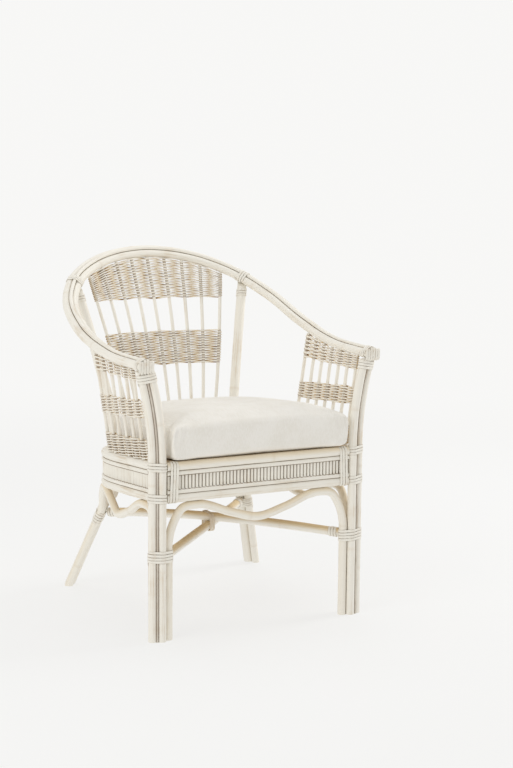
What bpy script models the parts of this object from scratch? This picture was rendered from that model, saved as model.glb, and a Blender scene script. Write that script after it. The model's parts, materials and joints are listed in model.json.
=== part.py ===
"""Whitewashed rattan armchair with a horseshoe back, wicker panels and a loose seat cushion.

Units are metres. +X is the sitter's left, seen on the right from the front, +Y points to the back
and +Z up. Plan positions are measured from the middle pole of the front legs, and the whole chair
is moved at the end so that the middle of its footprint stands on the origin.
"""

import math

import bmesh
import bpy
from mathutils import Vector

# Clearance between pieces that touch, and the distance under which points are one
GAP = 0.0003
WELD = 0.000001

# Front legs: three poles side by side, the middle one a little forward
LEG_SPAN = 0.484
LEG_POLE_D = 0.020
LEG_POLE_STEP = 0.007
ARM_FLARE = 0.032
POST_STRIP_D = 0.0046

# Seat frame: round rails above and below a band of upright reeds
SEAT_TOP = 0.401
SEAT_DEPTH = 0.468
SEAT_RAKE = 0.078
SEAT_OVERHANG = 0.005
SEAT_STRAIGHT = 0.195
SEAT_SQUARENESS = 3.0
FRONT_RAIL_SETBACK = 0.0035
RAIL_D = 0.021
BAND_STRIP_D = 0.010
REED_HEIGHT = 0.0314
REED_PITCH = 0.0086
REED_BODY = 0.0045
REED_RELIEF = 0.0025
BAND_SETBACK = 0.001
REED_SETBACK = 0.0035

# Bent arches under the seat
ARCH_POLE_D = 0.019
ARCH_SHOULDER = 0.215
ARCH_HUMP_INSET = 0.071
ARCH_DIP = 0.042
ARCH_CLEARANCE = 0.0005
ARCH_STRAIGHT_SHARE = 0.1
ARCH_BEND_SHARES = (0.20, 0.62)
ARCH_CREST_SHARES = (0.46, 0.93)
ARCH_SLOPE_SHARES = (0.55, 0.62)

# Rear legs, which bend at the seat and go on as the back posts
POST_D = 0.024
POST_SEAT_INSET = 0.087
REAR_FOOT_SPLAY = 0.0105
REAR_FOOT_BACK = 0.540
REAR_KNEE_INSET = 0.055
REAR_KNEE_BACK = 0.4655
REAR_KNEE_HEIGHT = 0.215
REAR_ARCH_BEARING = (0.47, -0.88, 0.0)
POST_TOP_INSET = 0.023
POST_BELLY = 0.10

# Crossed stretchers between the legs
STRETCHER_D = 0.021
STRETCHER_HEIGHT = 0.187
STRETCHER_STAGGER = 0.010

# Hoop that makes the arms and the top of the back
HOOP_POLE_D = 0.019
HOOP_STRIP_D = 0.009
HOOP_TILT = math.radians(33)
HOOP_TILT_ONSET = 1.25
ARM_OVERHANG = 0.0125
ARM_END_HEIGHT = 0.616
ARM_MIDDLE_RISE = 0.009
ARM_BEND_RISE = 0.046
BACK_BEND_RISE = 0.101
BACK_SHOULDER_RISE = 0.154
BACK_CURVE_RISE = 0.191
BACK_TOP_RISE = 0.205
ARM_MIDDLE_DEPTH = 0.183
ARM_BEND_DEPTH = 0.346
BACK_BEND_DEPTH = 0.474
BACK_SHOULDER_DEPTH = 0.567
BACK_CURVE_DEPTH = 0.624
BACK_TOP_DEPTH = 0.644
ARM_MIDDLE_SHARE = 1.2025
ARM_BEND_SHARE = 1.2066
BACK_BEND_SHARE = 1.1157
BACK_SHOULDER_SHARE = 0.8678
BACK_CURVE_SHARE = 0.4793

# Wicker panels: upright stakes and woven bands
STAKE_D = 0.0082
STAKE_FOOT_GAP = 0.0006
STAKE_HEAD_GAP = 0.0008
WEAVE_THICKNESS = 0.0110
BACK_STAKES = 9
BACK_POST_GAP_LOW = 0.049
BACK_POST_GAP_HIGH = 0.036
BACK_STAKE_BOW = 0.012
SIDE_STAKES = 7
SIDE_PANEL_FRONT = 0.040
SIDE_PANEL_BACK = 0.286
WEAVE_EDGE = 0.004
SEAT_BAND_HEIGHT = 0.046
BACK_LOW_BAND_SHARES = (0.338, 0.531)
BACK_TOP_BAND_SHARE = 0.724
SIDE_LOW_BAND_SHARES = (0.442, 0.633)
SIDE_TOP_BAND_SHARE = 0.805

# Cane bindings, wound from a flat strip
CANE_WIDTH = 0.0058
CANE_THICKNESS = 0.0012
CANE_PITCH = 0.0068
LEG_BINDING_HEIGHT = 0.190
REAR_BINDING_HEIGHT = 0.184
LEG_BINDING_TURNS = 4
SEAT_BINDING_TURNS = 3
RAIL_BINDING_TURNS = 3
RAIL_BINDING_INSET = 0.0005
ARM_POST_BINDING_TURNS = 3
ARM_LOOP_TURNS = 3
POST_BINDING_TURNS = 3
HOOP_LOOP_TURNS = 3
STRETCHER_BINDING_TURNS = 3
CROSS_BINDING_TURNS = 2
BEND_EASE = 0.0012
POST_BEND_EASE = 0.0004

# Seat deck and cushion
DECK_THICKNESS = 0.009
BEARER_D = 0.016
BEARER_FRONT = 0.120
BEARER_BACK = 0.285
CUSHION_SIDE_GAP = 0.010
CUSHION_BACK_GAP = 0.026
CUSHION_FRONT_LIP = 0.008
CUSHION_EDGE = 0.080
CUSHION_CROWN = 0.030
CUSHION_CORNER_R = 0.040
CUSHION_ROUND = 0.026
CUSHION_DRAW_IN = 0.004
CUSHION_BASE_INSET = 0.10
CUSHION_CROWN_SHARES = ((0.25, 0.42), (0.45, 0.74), (0.68, 0.94), (0.88, 1.0))
COVER_THICKNESS = 0.0016
FOAM_INSET = 0.0022
ZIP_OPENING = 0.180
ZIP_WIDTH = 0.003

# Facets
POLE_SMOOTHNESS = 2
THIN_SMOOTHNESS = 1
STAKE_SMOOTHNESS = 0
TURN_POINTS = 8
RING_POINTS = 31
HOOP_POINTS = 33
STAKE_STEPS = 4
HEADING_STEP = 0.004
ROUND_BAND_RIBS = 40
CUSHION_POINTS = 24

# The floor, and how far standing poles run below it before they are cut
FLOOR = ((0, 0, 0), (0, 0, 1))
FLOOR_CUT = 0.02

# Sizes that follow from the driving ones
POLE_FLAT = math.cos(math.pi / (2 * POLE_SMOOTHNESS + 4))
STRIP_FLAT = BAND_STRIP_D / 2 * math.cos(math.pi / (2 * THIN_SMOOTHNESS + 4))
LEG_X = LEG_SPAN / 2
LEG_R = LEG_POLE_D / 2
ARCH_R = ARCH_POLE_D / 2
RAIL_R = RAIL_D / 2
POST_R = POST_D / 2
HOOP_R = HOOP_POLE_D / 2
SEAT_HALF = LEG_X + SEAT_OVERHANG
POST_SEAT_HALF = LEG_X - POST_SEAT_INSET
POST_TOP_HALF = LEG_X - POST_TOP_INSET
TOP_RAIL_Z = SEAT_TOP - RAIL_R
BAND_OUTSET = RAIL_R - BAND_STRIP_D / 2 - BAND_SETBACK
STRIP_DROP = math.sqrt((RAIL_R * POLE_FLAT + BAND_STRIP_D / 2 + GAP) ** 2 - BAND_OUTSET**2)
UPPER_STRIP_Z = TOP_RAIL_Z - STRIP_DROP
REED_BOTTOM = UPPER_STRIP_Z - STRIP_FLAT - 2 * GAP - REED_HEIGHT
LOWER_STRIP_Z = REED_BOTTOM - 2 * GAP - STRIP_FLAT
BOTTOM_RAIL_Z = LOWER_STRIP_Z - STRIP_DROP
FRAME_BOTTOM = BOTTOM_RAIL_Z - RAIL_R
CUSHION_HALF = LEG_X - LEG_R - CUSHION_SIDE_GAP


def clear_scene():
    for item in list(bpy.data.objects):
        bpy.data.objects.remove(item, do_unlink=True)


def finish(name, colour, roughness):
    material = bpy.data.materials.new(name)
    material.use_nodes = True
    shader = material.node_tree.nodes["Principled BSDF"]
    shader.inputs["Base Color"].default_value = (*colour, 1.0)
    shader.inputs["Roughness"].default_value = roughness
    shader.inputs["Metallic"].default_value = 0.0
    return material


clear_scene()
RATTAN = finish("whitewashed_rattan", (0.80, 0.77, 0.70), 0.55)
CANE = finish("cane_binding", (0.82, 0.79, 0.72), 0.50)
WICKER = finish("woven_wicker", (0.62, 0.52, 0.40), 0.65)
BOARD = finish("seat_board", (0.55, 0.42, 0.28), 0.70)
CANVAS = finish("cream_canvas", (0.80, 0.75, 0.64), 0.90)
FOAM = finish("seat_foam", (0.86, 0.80, 0.58), 0.95)

CHAIR = bpy.data.objects.new("chair", None)
bpy.context.scene.collection.objects.link(CHAIR)


def add(name, data, material):
    data.materials.append(material)
    item = bpy.data.objects.new(name, data)
    item.parent = CHAIR
    bpy.context.scene.collection.objects.link(item)
    return item


def mesh_of(bm, name):
    bmesh.ops.recalc_face_normals(bm, faces=bm.faces)
    mesh = bpy.data.meshes.new(name)
    bm.to_mesh(mesh)
    bm.free()
    mesh.shade_smooth()
    mesh.set_sharp_from_angle(angle=math.radians(40))
    return mesh


def smooth_path(stations, steps):
    """Points of a smooth curve through the stations, with this many steps between each pair."""
    points = [Vector(station) for station in stations]
    lengths = [(end - start).length for start, end in zip(points, points[1:])]
    runs = [(end - start) / length for start, end, length in zip(points, points[1:], lengths)]
    slopes = [runs[0]]
    for before, after, near, far in zip(runs, runs[1:], lengths, lengths[1:]):
        slopes.append((before * far + after * near) / (near + far))
    slopes.append(runs[-1])
    path = []
    for index, length in enumerate(lengths):
        start, end = points[index], points[index + 1]
        out, into = slopes[index] * length, slopes[index + 1] * length
        for step in range(steps):
            t = step / steps
            path.append(
                start * (2 * t**3 - 3 * t**2 + 1)
                + out * (t**3 - 2 * t**2 + t)
                + end * (3 * t**2 - 2 * t**3)
                + into * (t**3 - t**2)
            )
    return [*path, points[-1]]


def evenly(path, count):
    """This many points at equal steps along a path."""
    lengths = [0.0]
    for start, end in zip(path, path[1:]):
        lengths.append(lengths[-1] + (end - start).length)
    points = []
    span = 0
    for index in range(count):
        wanted = lengths[-1] * index / (count - 1)
        while span < len(path) - 2 and lengths[span + 1] < wanted:
            span += 1
        share = (wanted - lengths[span]) / (lengths[span + 1] - lengths[span])
        points.append(path[span].lerp(path[span + 1], share))
    return points


def where(path, axis, value):
    """The first point of a path at which this coordinate has the value."""
    for start, end in zip(path, path[1:]):
        if (start[axis] - value) * (end[axis] - value) <= 0 and start[axis] != end[axis]:
            return start.lerp(end, (value - start[axis]) / (end[axis] - start[axis]))
    raise ValueError(f"the path never reaches {value}")


def heading(path, index):
    return (path[min(index + 1, len(path) - 1)] - path[max(index - 1, 0)]).normalized()


def mirrored(path):
    return [Vector((-point.x, point.y, point.z)) for point in path]


def tube_mesh(name, path, diameter, smoothness):
    """A round rod along a path, as a mesh with flat ends."""
    curve = bpy.data.curves.new(name, "CURVE")
    curve.dimensions = "3D"
    curve.bevel_depth = diameter / 2
    curve.bevel_resolution = smoothness
    curve.use_fill_caps = True
    spline = curve.splines.new("POLY")
    spline.points.add(len(path) - 1)
    for point, place in zip(spline.points, path):
        point.co = (*place, 1.0)
    guide = bpy.data.objects.new(name + "_guide", curve)
    mesh = bpy.data.meshes.new_from_object(guide)
    bpy.data.objects.remove(guide)
    bpy.data.curves.remove(curve)
    return mesh


def pole(name, path, diameter, smoothness=POLE_SMOOTHNESS, cuts=()):
    """A rattan pole, trimmed by planes that each keep what lies on the side they face."""
    source = tube_mesh(name, path, diameter, smoothness)
    bm = bmesh.new()
    bm.from_mesh(source)
    bpy.data.meshes.remove(source)
    bmesh.ops.remove_doubles(bm, verts=bm.verts, dist=WELD)
    for place, facing in cuts:
        geometry = [*bm.verts, *bm.edges, *bm.faces]
        cut = bmesh.ops.bisect_plane(
            bm, geom=geometry, plane_co=place, plane_no=facing, clear_inner=True
        )
        rim = [edge for edge in cut["geom_cut"] if isinstance(edge, bmesh.types.BMEdge)]
        bmesh.ops.edgenet_fill(bm, edges=rim)
    return add(name, mesh_of(bm, name), RATTAN)


def both_sides(name, path, diameter, **more):
    """The same pole on the left and, mirrored, on the right."""
    pole("left_" + name, path, diameter, **more)
    pole("right_" + name, mirrored(path), diameter, **more)


def wound(radius):
    """How far the flat sides of a cane binding are from the middle of a pole, with its clearance."""
    return radius + CANE_THICKNESS + 2 * GAP


def bound(radius):
    """How far the corners of a cane binding reach from the middle of a pole, with its clearance."""
    return (radius + GAP + CANE_THICKNESS) / math.cos(math.pi / TURN_POINTS) + GAP


def skin(rings):
    """A closed body through rings of equally many points."""
    bm = bmesh.new()
    loops = [[bm.verts.new(point) for point in ring] for ring in rings]
    bm.faces.new(reversed(loops[0]))
    bm.faces.new(loops[-1])
    for low, high in zip(loops, loops[1:]):
        for side in range(len(low)):
            after = (side + 1) % len(low)
            bm.faces.new((low[side], low[after], high[after], high[side]))
    return bm


def hull_outline(circles, room):
    """The taut outline round circles in a plane, with chords that stay clear of them by this room."""
    step = 2 * math.pi / TURN_POINTS
    lines = []
    for index in range(TURN_POINTS):
        away = Vector((math.cos(step * index), math.sin(step * index)))
        lines.append((away, support(circles, away) + room))
    corners = []
    for (one, near), (two, far) in zip(lines, lines[1:] + lines[:1]):
        spread = one.x * two.y - one.y * two.x
        x = (near * two.y - far * one.y) / spread
        y = (far * one.x - near * two.x) / spread
        corners.append(Vector((x, y)))
    return corners


def support(circles, away):
    """How far circles in a plane reach in a direction."""
    return max(Vector(centre).dot(away) + radius for centre, radius in circles)


def winding_length(turns):
    return turns * CANE_PITCH + CANE_WIDTH


def binding(name, centre, axis, across, circles, turns, ease=0.0):
    """A cane strip wound round the poles that cross a plane at these circles, eased where they bend."""
    axis = axis.normalized()
    across = (across - axis * axis.dot(across)).normalized()
    upward = axis.cross(across)
    inner = hull_outline(circles, GAP + ease)
    outer = hull_outline(circles, GAP + ease + CANE_THICKNESS)
    rings = []
    for index in range(turns * TURN_POINTS + 1):
        along = CANE_PITCH * (index / TURN_POINTS - turns / 2)
        near = inner[index % TURN_POINTS]
        far = outer[index % TURN_POINTS]
        ring = []
        for flat, side in ((near, -1), (far, -1), (far, 1), (near, 1)):
            offset = axis * (along + side * CANE_WIDTH / 2)
            ring.append(centre + across * flat.x + upward * flat.y + offset)
        rings.append(ring)
    least = min((a - b).length for a, b in zip(rings[0][3:], rings[TURN_POINTS][:1]))
    print(f"{name}: least gap between turns {1000 * least:.2f} mm")
    return add(name, mesh_of(skin(rings), name), CANE)


def both_bindings(name, centre, axis, across, circles, turns, ease=0.0):
    """The same binding on the left and, mirrored, on the right."""
    binding("left_" + name, centre, axis, across, circles, turns, ease)
    flip = Vector((-1, 1, 1))
    turned = [((spot[0], -spot[1]), radius) for spot, radius in circles]
    binding("right_" + name, centre * flip, axis * flip, across * flip, turned, turns, ease)


# Seat plan and hoop, which the other pieces follow

RAIL_START = LEG_POLE_STEP + wound(LEG_R) + RAIL_R * SEAT_RAKE


def seat_ring():
    """The horseshoe of the seat frame in plan, from the left front leg round the back to the right."""
    half = [Vector((SEAT_HALF, RAIL_START, 0.0))]
    steps = 60
    for step in range(steps + 1):
        angle = math.pi / 2 * step / steps
        across = max(math.cos(angle), 0.0) ** (2 / SEAT_SQUARENESS)
        back = math.sin(angle) ** (2 / SEAT_SQUARENESS)
        half.append(Vector((SEAT_HALF * across, SEAT_STRAIGHT + (SEAT_DEPTH - SEAT_STRAIGHT) * back, 0.0)))
    return evenly(half + mirrored(half)[-2::-1], RING_POINTS)


RING = seat_ring()
LEFT_RING = RING[: RING_POINTS // 2 + 1]


def outset(path, distance):
    """A plan path moved outwards, to the right of its run."""
    moved = []
    for index, point in enumerate(path):
        along = heading(path, index)
        moved.append(point + Vector((along.y, -along.x, 0.0)) * distance)
    return moved


def raked(point, height):
    """A point of the seat, whose height is that at the front rail, lowered towards the back."""
    return Vector((point.x, point.y, height - SEAT_RAKE * (point.y - FRONT_RAIL_SETBACK)))


def hoop_path():
    end = Vector((LEG_X + LEG_R + ARM_FLARE, -ARM_OVERHANG, ARM_END_HEIGHT))
    bends = (
        (ARM_MIDDLE_SHARE, ARM_MIDDLE_DEPTH, ARM_MIDDLE_RISE),
        (ARM_BEND_SHARE, ARM_BEND_DEPTH, ARM_BEND_RISE),
        (BACK_BEND_SHARE, BACK_BEND_DEPTH, BACK_BEND_RISE),
        (BACK_SHOULDER_SHARE, BACK_SHOULDER_DEPTH, BACK_SHOULDER_RISE),
        (BACK_CURVE_SHARE, BACK_CURVE_DEPTH, BACK_CURVE_RISE),
    )
    left = [end]
    for share, depth, rise in bends:
        left.append(Vector((LEG_X * share, depth, ARM_END_HEIGHT + rise)))
    top = Vector((0.0, BACK_TOP_DEPTH, ARM_END_HEIGHT + BACK_TOP_RISE))
    steps = 8
    return evenly(smooth_path([*left, top, *mirrored(left)[::-1]], steps), HOOP_POINTS)


HOOP = hoop_path()


def hoop_frame(index):
    """The hoop's outward and upper directions at one of its points, square to its run."""
    along = heading(HOOP, index)
    share = 1 - abs(2 * index / (len(HOOP) - 1) - 1)
    tilt = HOOP_TILT * min(1.0, HOOP_TILT_ONSET * share)
    outward = along.cross(Vector((0, -math.sin(tilt), math.cos(tilt)))).normalized()
    return outward, outward.cross(along)


def hoop_offset(out, up):
    path = []
    for index, point in enumerate(HOOP):
        outward, upper = hoop_frame(index)
        path.append(point + outward * out + upper * up)
    return path


def groove_rise(pole_radius, step, strip_radius):
    """How far above two poles' middle plane a strip lies that rests in the groove between them."""
    return math.sqrt((pole_radius + strip_radius + GAP) ** 2 - step**2)


HOOP_STEP = HOOP_R + GAP / 2
HOOP_STRIP_RISE = groove_rise(HOOP_R, HOOP_STEP, HOOP_STRIP_D / 2)
HOOP_INNER = hoop_offset(-HOOP_STEP, 0.0)
HOOP_CIRCLES = [
    ((-HOOP_STEP, 0.0), HOOP_R),
    ((HOOP_STEP, 0.0), HOOP_R),
    ((0.0, HOOP_STRIP_RISE), HOOP_STRIP_D / 2),
]


def make_hoop():
    pole("hoop_inner_pole", HOOP_INNER, HOOP_POLE_D)
    pole("hoop_outer_pole", hoop_offset(HOOP_STEP, 0.0), HOOP_POLE_D)
    pole("hoop_groove_strip", hoop_offset(0.0, HOOP_STRIP_RISE), HOOP_STRIP_D, smoothness=THIN_SMOOTHNESS)


# Front legs and arm posts

LEG_DX = math.sqrt((LEG_POLE_D + GAP) ** 2 - LEG_POLE_STEP**2)
ARCH_LEG_DX = math.sqrt((LEG_R + ARCH_R + GAP) ** 2 - LEG_POLE_STEP**2)
SIDE_ARCH_BACK = LEG_R + ARCH_R + 3 * GAP
POST_TOP = ARM_END_HEIGHT - wound(HOOP_R + BEND_EASE)
POST_CIRCLES = [((0.0, 0.0), LEG_R), ((LEG_DX, LEG_POLE_STEP), LEG_R)]
LEG_CIRCLES = [
    *POST_CIRCLES,
    ((-ARCH_LEG_DX, LEG_POLE_STEP), ARCH_R),
    ((0.0, SIDE_ARCH_BACK), ARCH_R),
]


def arm_lean(height):
    """How far the arm post has flared out at a height, and the slope there."""
    rise = ARM_END_HEIGHT - SEAT_TOP
    share = max(0.0, (height - SEAT_TOP) / rise)
    return ARM_FLARE * share**2, 2 * ARM_FLARE * share / rise


def on_arm_post(across, back, height):
    """A place beside the middle pole of the left arm post, spread so that leaning poles stay apart."""
    flare, slope = arm_lean(height)
    return Vector((LEG_X + flare + across * math.hypot(1.0, slope), back, height))


def front_leg_path(across, back):
    heights = [-FLOOR_CUT, SEAT_TOP]
    steps = 6
    heights += [SEAT_TOP + (ARM_END_HEIGHT - SEAT_TOP) * step / steps for step in range(1, steps + 1)]
    return [on_arm_post(across, back, height) for height in heights]


def post_strip_path():
    """The thin strip in the front groove of a front leg and its arm post, which runs under their bindings."""
    front = Vector((LEG_POLE_STEP, -LEG_DX)).normalized()
    place = Vector((LEG_DX, LEG_POLE_STEP)) / 2
    place += front * groove_rise(LEG_R, (LEG_POLE_D + GAP) / 2, POST_STRIP_D / 2)
    return front_leg_path(place.x, place.y)


def make_front_legs():
    cuts = [FLOOR, ((0, 0, POST_TOP), (0, 0, -1))]
    both_sides("front_leg_middle_pole", front_leg_path(0.0, 0.0), LEG_POLE_D, cuts=cuts)
    both_sides("front_leg_outer_pole", front_leg_path(LEG_DX, LEG_POLE_STEP), LEG_POLE_D, cuts=cuts)
    both_sides("arm_post_strip", post_strip_path(), POST_STRIP_D, smoothness=THIN_SMOOTHNESS, cuts=cuts)


# Rear legs, which go on as the back posts

POST_SPOT = where(LEFT_RING, 0, POST_SEAT_HALF)
POST_ALONG = (where(LEFT_RING, 0, POST_SEAT_HALF - HEADING_STEP) - POST_SPOT).normalized()
POST_OUTWARD = Vector((POST_ALONG.y, -POST_ALONG.x, 0.0))
POST_SEAT = POST_SPOT + POST_OUTWARD * (RAIL_R + POST_R * POLE_FLAT + 2 * GAP)
REAR_FOOT = Vector((LEG_X + REAR_FOOT_SPLAY, REAR_FOOT_BACK, 0.0))
REAR_KNEE = Vector((LEG_X - REAR_KNEE_INSET, REAR_KNEE_BACK, REAR_KNEE_HEIGHT))
REAR_RUN = (REAR_KNEE - REAR_FOOT).normalized()
REAR_ARCH_AHEAD = Vector(REAR_ARCH_BEARING)
REAR_ARCH_SIDE = (REAR_ARCH_AHEAD - REAR_RUN * REAR_RUN.dot(REAR_ARCH_AHEAD)).normalized()
REAR_ARCH_STEP = POST_R + ARCH_R + 4 * GAP
POST_INDEX = min(
    range(HOOP_POINTS // 4, HOOP_POINTS // 2), key=lambda index: abs(HOOP[index].x - POST_TOP_HALF)
)


def bend_ease(path, index, length):
    """How far a path strays, at the ends of this length, from its heading at a point."""
    before = path[index] - path[index - 1]
    after = path[index + 1] - path[index]
    return length / 2 * math.sin(before.angle(after) / 2) + GAP


POST_LOOP_EASE = bend_ease(HOOP, POST_INDEX, winding_length(HOOP_LOOP_TURNS))


def on_rear_leg(height):
    """The middle of the rear leg's straight run at a height."""
    return REAR_FOOT + REAR_RUN * (height / REAR_RUN.z)


def beside_rear_leg(height):
    """The middle of the side arch's rear end, which lies along the rear leg."""
    return on_rear_leg(height) + REAR_ARCH_SIDE * REAR_ARCH_STEP


def rear_leg_path():
    """Up from the floor to the knee, upright along the seat frame, then leaning back to the hoop."""
    low = Vector((POST_SEAT.x, POST_SEAT.y, raked(POST_SEAT, FRAME_BOTTOM).z - POST_R))
    high = Vector((POST_SEAT.x, POST_SEAT.y, raked(POST_SEAT, SEAT_TOP).z + POST_R))
    end = HOOP[POST_INDEX]
    rise = end - high
    belly = high.lerp(end, 0.5) - Vector((rise.x, rise.y, 0.0)) * POST_BELLY
    ease = Vector((0, 0, POST_D))
    knee = on_rear_leg(REAR_KNEE_HEIGHT - POST_D)
    steps = 3
    curve = smooth_path([knee, REAR_KNEE, low - ease, low, high, high + ease, belly, end], steps)
    return [on_rear_leg(-FLOOR_CUT), *curve]


def make_rear_legs():
    _, upper = hoop_frame(POST_INDEX)
    under = HOOP[POST_INDEX] - upper * wound(HOOP_R + POST_LOOP_EASE + GAP)
    for side, flip in (("left_", Vector((1, 1, 1))), ("right_", Vector((-1, 1, 1)))):
        path = [point * flip for point in rear_leg_path()]
        hoop_cut = (under * flip, -upper * flip)
        pole(side + "rear_leg_and_back_post", path, POST_D, cuts=[FLOOR, hoop_cut])


# Arches under the seat


def between(start, end, shares):
    """A point part of the way from start to end in plan, and another part of the way in height."""
    along, up = shares
    point = start.lerp(end, along)
    point.z = start.z + (end.z - start.z) * up
    return point


def arch_half(end, shoulder, hump, middle):
    """Half of a bent arch: up the leg to a shoulder, over a hump and down to the middle dip."""
    straight = shoulder.lerp(end, ARCH_STRAIGHT_SHARE)
    bend = between(shoulder, hump, ARCH_BEND_SHARES)
    crest = between(shoulder, hump, ARCH_CREST_SHARES)
    slope = between(hump, middle, ARCH_SLOPE_SHARES)
    return [end, straight, shoulder, bend, crest, hump, slope, middle]


ARCH_LEVEL = FRAME_BOTTOM - ARCH_CLEARANCE - ARCH_R


def front_arch_path():
    side = LEG_X - ARCH_LEG_DX
    end = Vector((side, LEG_POLE_STEP, -FLOOR_CUT))
    shoulder = Vector((side, LEG_POLE_STEP, ARCH_SHOULDER))
    hump = Vector((side - ARCH_HUMP_INSET, LEG_POLE_STEP, ARCH_LEVEL))
    middle = Vector((0.0, LEG_POLE_STEP, ARCH_LEVEL - ARCH_DIP))
    left = arch_half(end, shoulder, hump, middle)
    steps = 2
    return smooth_path([*left, *mirrored(left)[-2::-1]], steps)


def side_arch_path():
    front_end = Vector((LEG_X, SIDE_ARCH_BACK, -FLOOR_CUT))
    front_shoulder = Vector((LEG_X, SIDE_ARCH_BACK, ARCH_SHOULDER))
    front_hump = raked(where(LEFT_RING, 1, SIDE_ARCH_BACK + ARCH_HUMP_INSET), ARCH_LEVEL)
    rear_end = beside_rear_leg(-FLOOR_CUT)
    rear_shoulder = beside_rear_leg(REAR_KNEE_HEIGHT - ARCH_R)
    rear_hump = raked(where(LEFT_RING, 1, rear_shoulder.y - ARCH_HUMP_INSET), ARCH_LEVEL)
    middle = raked(where(LEFT_RING, 1, (front_hump.y + rear_hump.y) / 2), ARCH_LEVEL - ARCH_DIP)
    front = arch_half(front_end, front_shoulder, front_hump, middle)
    rear = arch_half(rear_end, rear_shoulder, rear_hump, middle)
    steps = 2
    return smooth_path([*front, *rear[-2::-1]], steps)


def make_arches():
    pole("front_arch_pole", front_arch_path(), ARCH_POLE_D, cuts=[FLOOR])
    both_sides("side_arch_pole", side_arch_path(), ARCH_POLE_D, cuts=[FLOOR])


# Seat frame

FRONT_END = LEG_X - wound(LEG_R)
REED_CREST = RAIL_R - REED_SETBACK
REED_VALLEY = REED_CREST - REED_RELIEF
REED_INNER = REED_VALLEY - REED_BODY


def front_run(setback, height):
    """A level run across the front of the seat, between the legs."""
    place = FRONT_RAIL_SETBACK - setback
    return [Vector((side * FRONT_END, place, height)) for side in (-1, 1)]


def beside(path, distance, height):
    """A plan path moved outwards and raised to a height of the seat."""
    moved = zip(outset(path, distance), path)
    return [Vector((side.x, side.y, raked(point, height).z)) for side, point in moved]


def ring_run(distance, height):
    return beside(RING, distance, height)


def reed_band(name, path, reeds):
    """A row of upright reeds as one ribbed band, whose outer side is to the right of the path's run."""
    edges = evenly(path, 2 * reeds + 1)
    inner, valleys, crests = (
        beside(edges, distance, REED_BOTTOM) for distance in (REED_INNER, REED_VALLEY, REED_CREST)
    )
    bm = bmesh.new()
    seam = [bm.verts.new(row[0]) for row in (inner, valleys)]
    cells = []
    for index in range(0, 2 * reeds, 2):
        crest = bm.verts.new(crests[index + 1])
        after = [bm.verts.new(row[index + 2]) for row in (inner, valleys)]
        cells.append(bm.faces.new((seam[0], seam[1], crest, after[1], after[0])))
        seam = after
    raised = bmesh.ops.extrude_face_region(bm, geom=cells, use_keep_orig=True)
    top = [item for item in raised["geom"] if isinstance(item, bmesh.types.BMVert)]
    bmesh.ops.translate(bm, verts=top, vec=(0, 0, REED_HEIGHT))
    add(name, mesh_of(bm, name), RATTAN)


def make_seat_frame():
    for place, height in (("top", TOP_RAIL_Z), ("bottom", BOTTOM_RAIL_Z)):
        pole(f"seat_front_{place}_rail", front_run(0.0, height), RAIL_D)
        pole(f"seat_round_{place}_rail", ring_run(0.0, height), RAIL_D)
    for place, height in (("upper", UPPER_STRIP_Z), ("lower", LOWER_STRIP_Z)):
        pole(
            f"seat_front_{place}_strip",
            front_run(BAND_OUTSET, height),
            BAND_STRIP_D,
            smoothness=THIN_SMOOTHNESS,
        )
        pole(
            f"seat_round_{place}_strip",
            ring_run(BAND_OUTSET, height),
            BAND_STRIP_D,
            smoothness=THIN_SMOOTHNESS,
        )
    reed_band("seat_front_reeds", front_run(0.0, 0.0), round(2 * FRONT_END / REED_PITCH))
    reed_band("seat_round_reeds", RING, ROUND_BAND_RIBS)


# Stretchers

FRONT_AIM = Vector((LEG_X, SIDE_ARCH_BACK / 2, 0.0))
REAR_AIM = on_rear_leg(STRETCHER_HEIGHT)
CROSSING = FRONT_AIM * Vector((-1, 1, 0))
CROSSING += (REAR_AIM * Vector((1, 1, 0)) - CROSSING) * (LEG_X / (LEG_X + REAR_AIM.x))
LOW_STRETCHER_Z = STRETCHER_HEIGHT - STRETCHER_STAGGER / 2
HIGH_STRETCHER_Z = STRETCHER_HEIGHT + STRETCHER_STAGGER / 2


def rear_leg_reach(height, along, leg_r, arch_r):
    """How far the rear leg and the arch beside it reach towards a stretcher that comes along at a height."""
    leg, arch = (place(height) for place in (on_rear_leg, beside_rear_leg))
    apart = Vector((arch.x - leg.x, arch.y - leg.y))
    share = STRETCHER_D / 2 / max(STRETCHER_D / 2, abs(along.cross(apart)))
    beside = leg.lerp(arch, share)
    girth = leg_r + (arch_r - leg_r) * share
    thick = 1 / REAR_RUN.z
    return support([((leg.x, leg.y), leg_r * thick), ((beside.x, beside.y), girth * thick)], -along)


def stretcher_ends(height, bow):
    """The ends of the stretcher from the right front leg to the left rear leg, where they meet the legs."""
    front = FRONT_AIM * Vector((-1, 1, 0))
    nearest = height + STRETCHER_D / 2
    rear = on_rear_leg(nearest)
    base = Vector((front.x, front.y))
    along = (Vector((rear.x, rear.y)) - base).normalized()
    leg = hull_outline(LEG_CIRCLES, GAP + CANE_THICKNESS)
    reach = max(Vector((-LEG_X - corner.x, corner.y)).dot(along) for corner in leg)
    lean = math.sqrt(1 - REAR_RUN.z**2)
    binding_top = REAR_BINDING_HEIGHT + winding_length(LEG_BINDING_TURNS) / 2 * REAR_RUN.z
    binding_top -= wound(POST_R) * lean
    bare = rear_leg_reach(nearest, along, POST_R, ARCH_R)
    wrapped = rear_leg_reach(min(nearest, binding_top), along, wound(POST_R), wound(ARCH_R))
    slope = 4 * bow / (rear - front).length
    start = reach - base.dot(along) + 2 * GAP + slope * STRETCHER_D / 2
    stop = -max(bare, wrapped) - base.dot(along) - 2 * GAP
    run = Vector((along.x, along.y, 0.0))
    rise = Vector((0, 0, height))
    return front + run * start + rise, front + run * stop + rise


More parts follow.
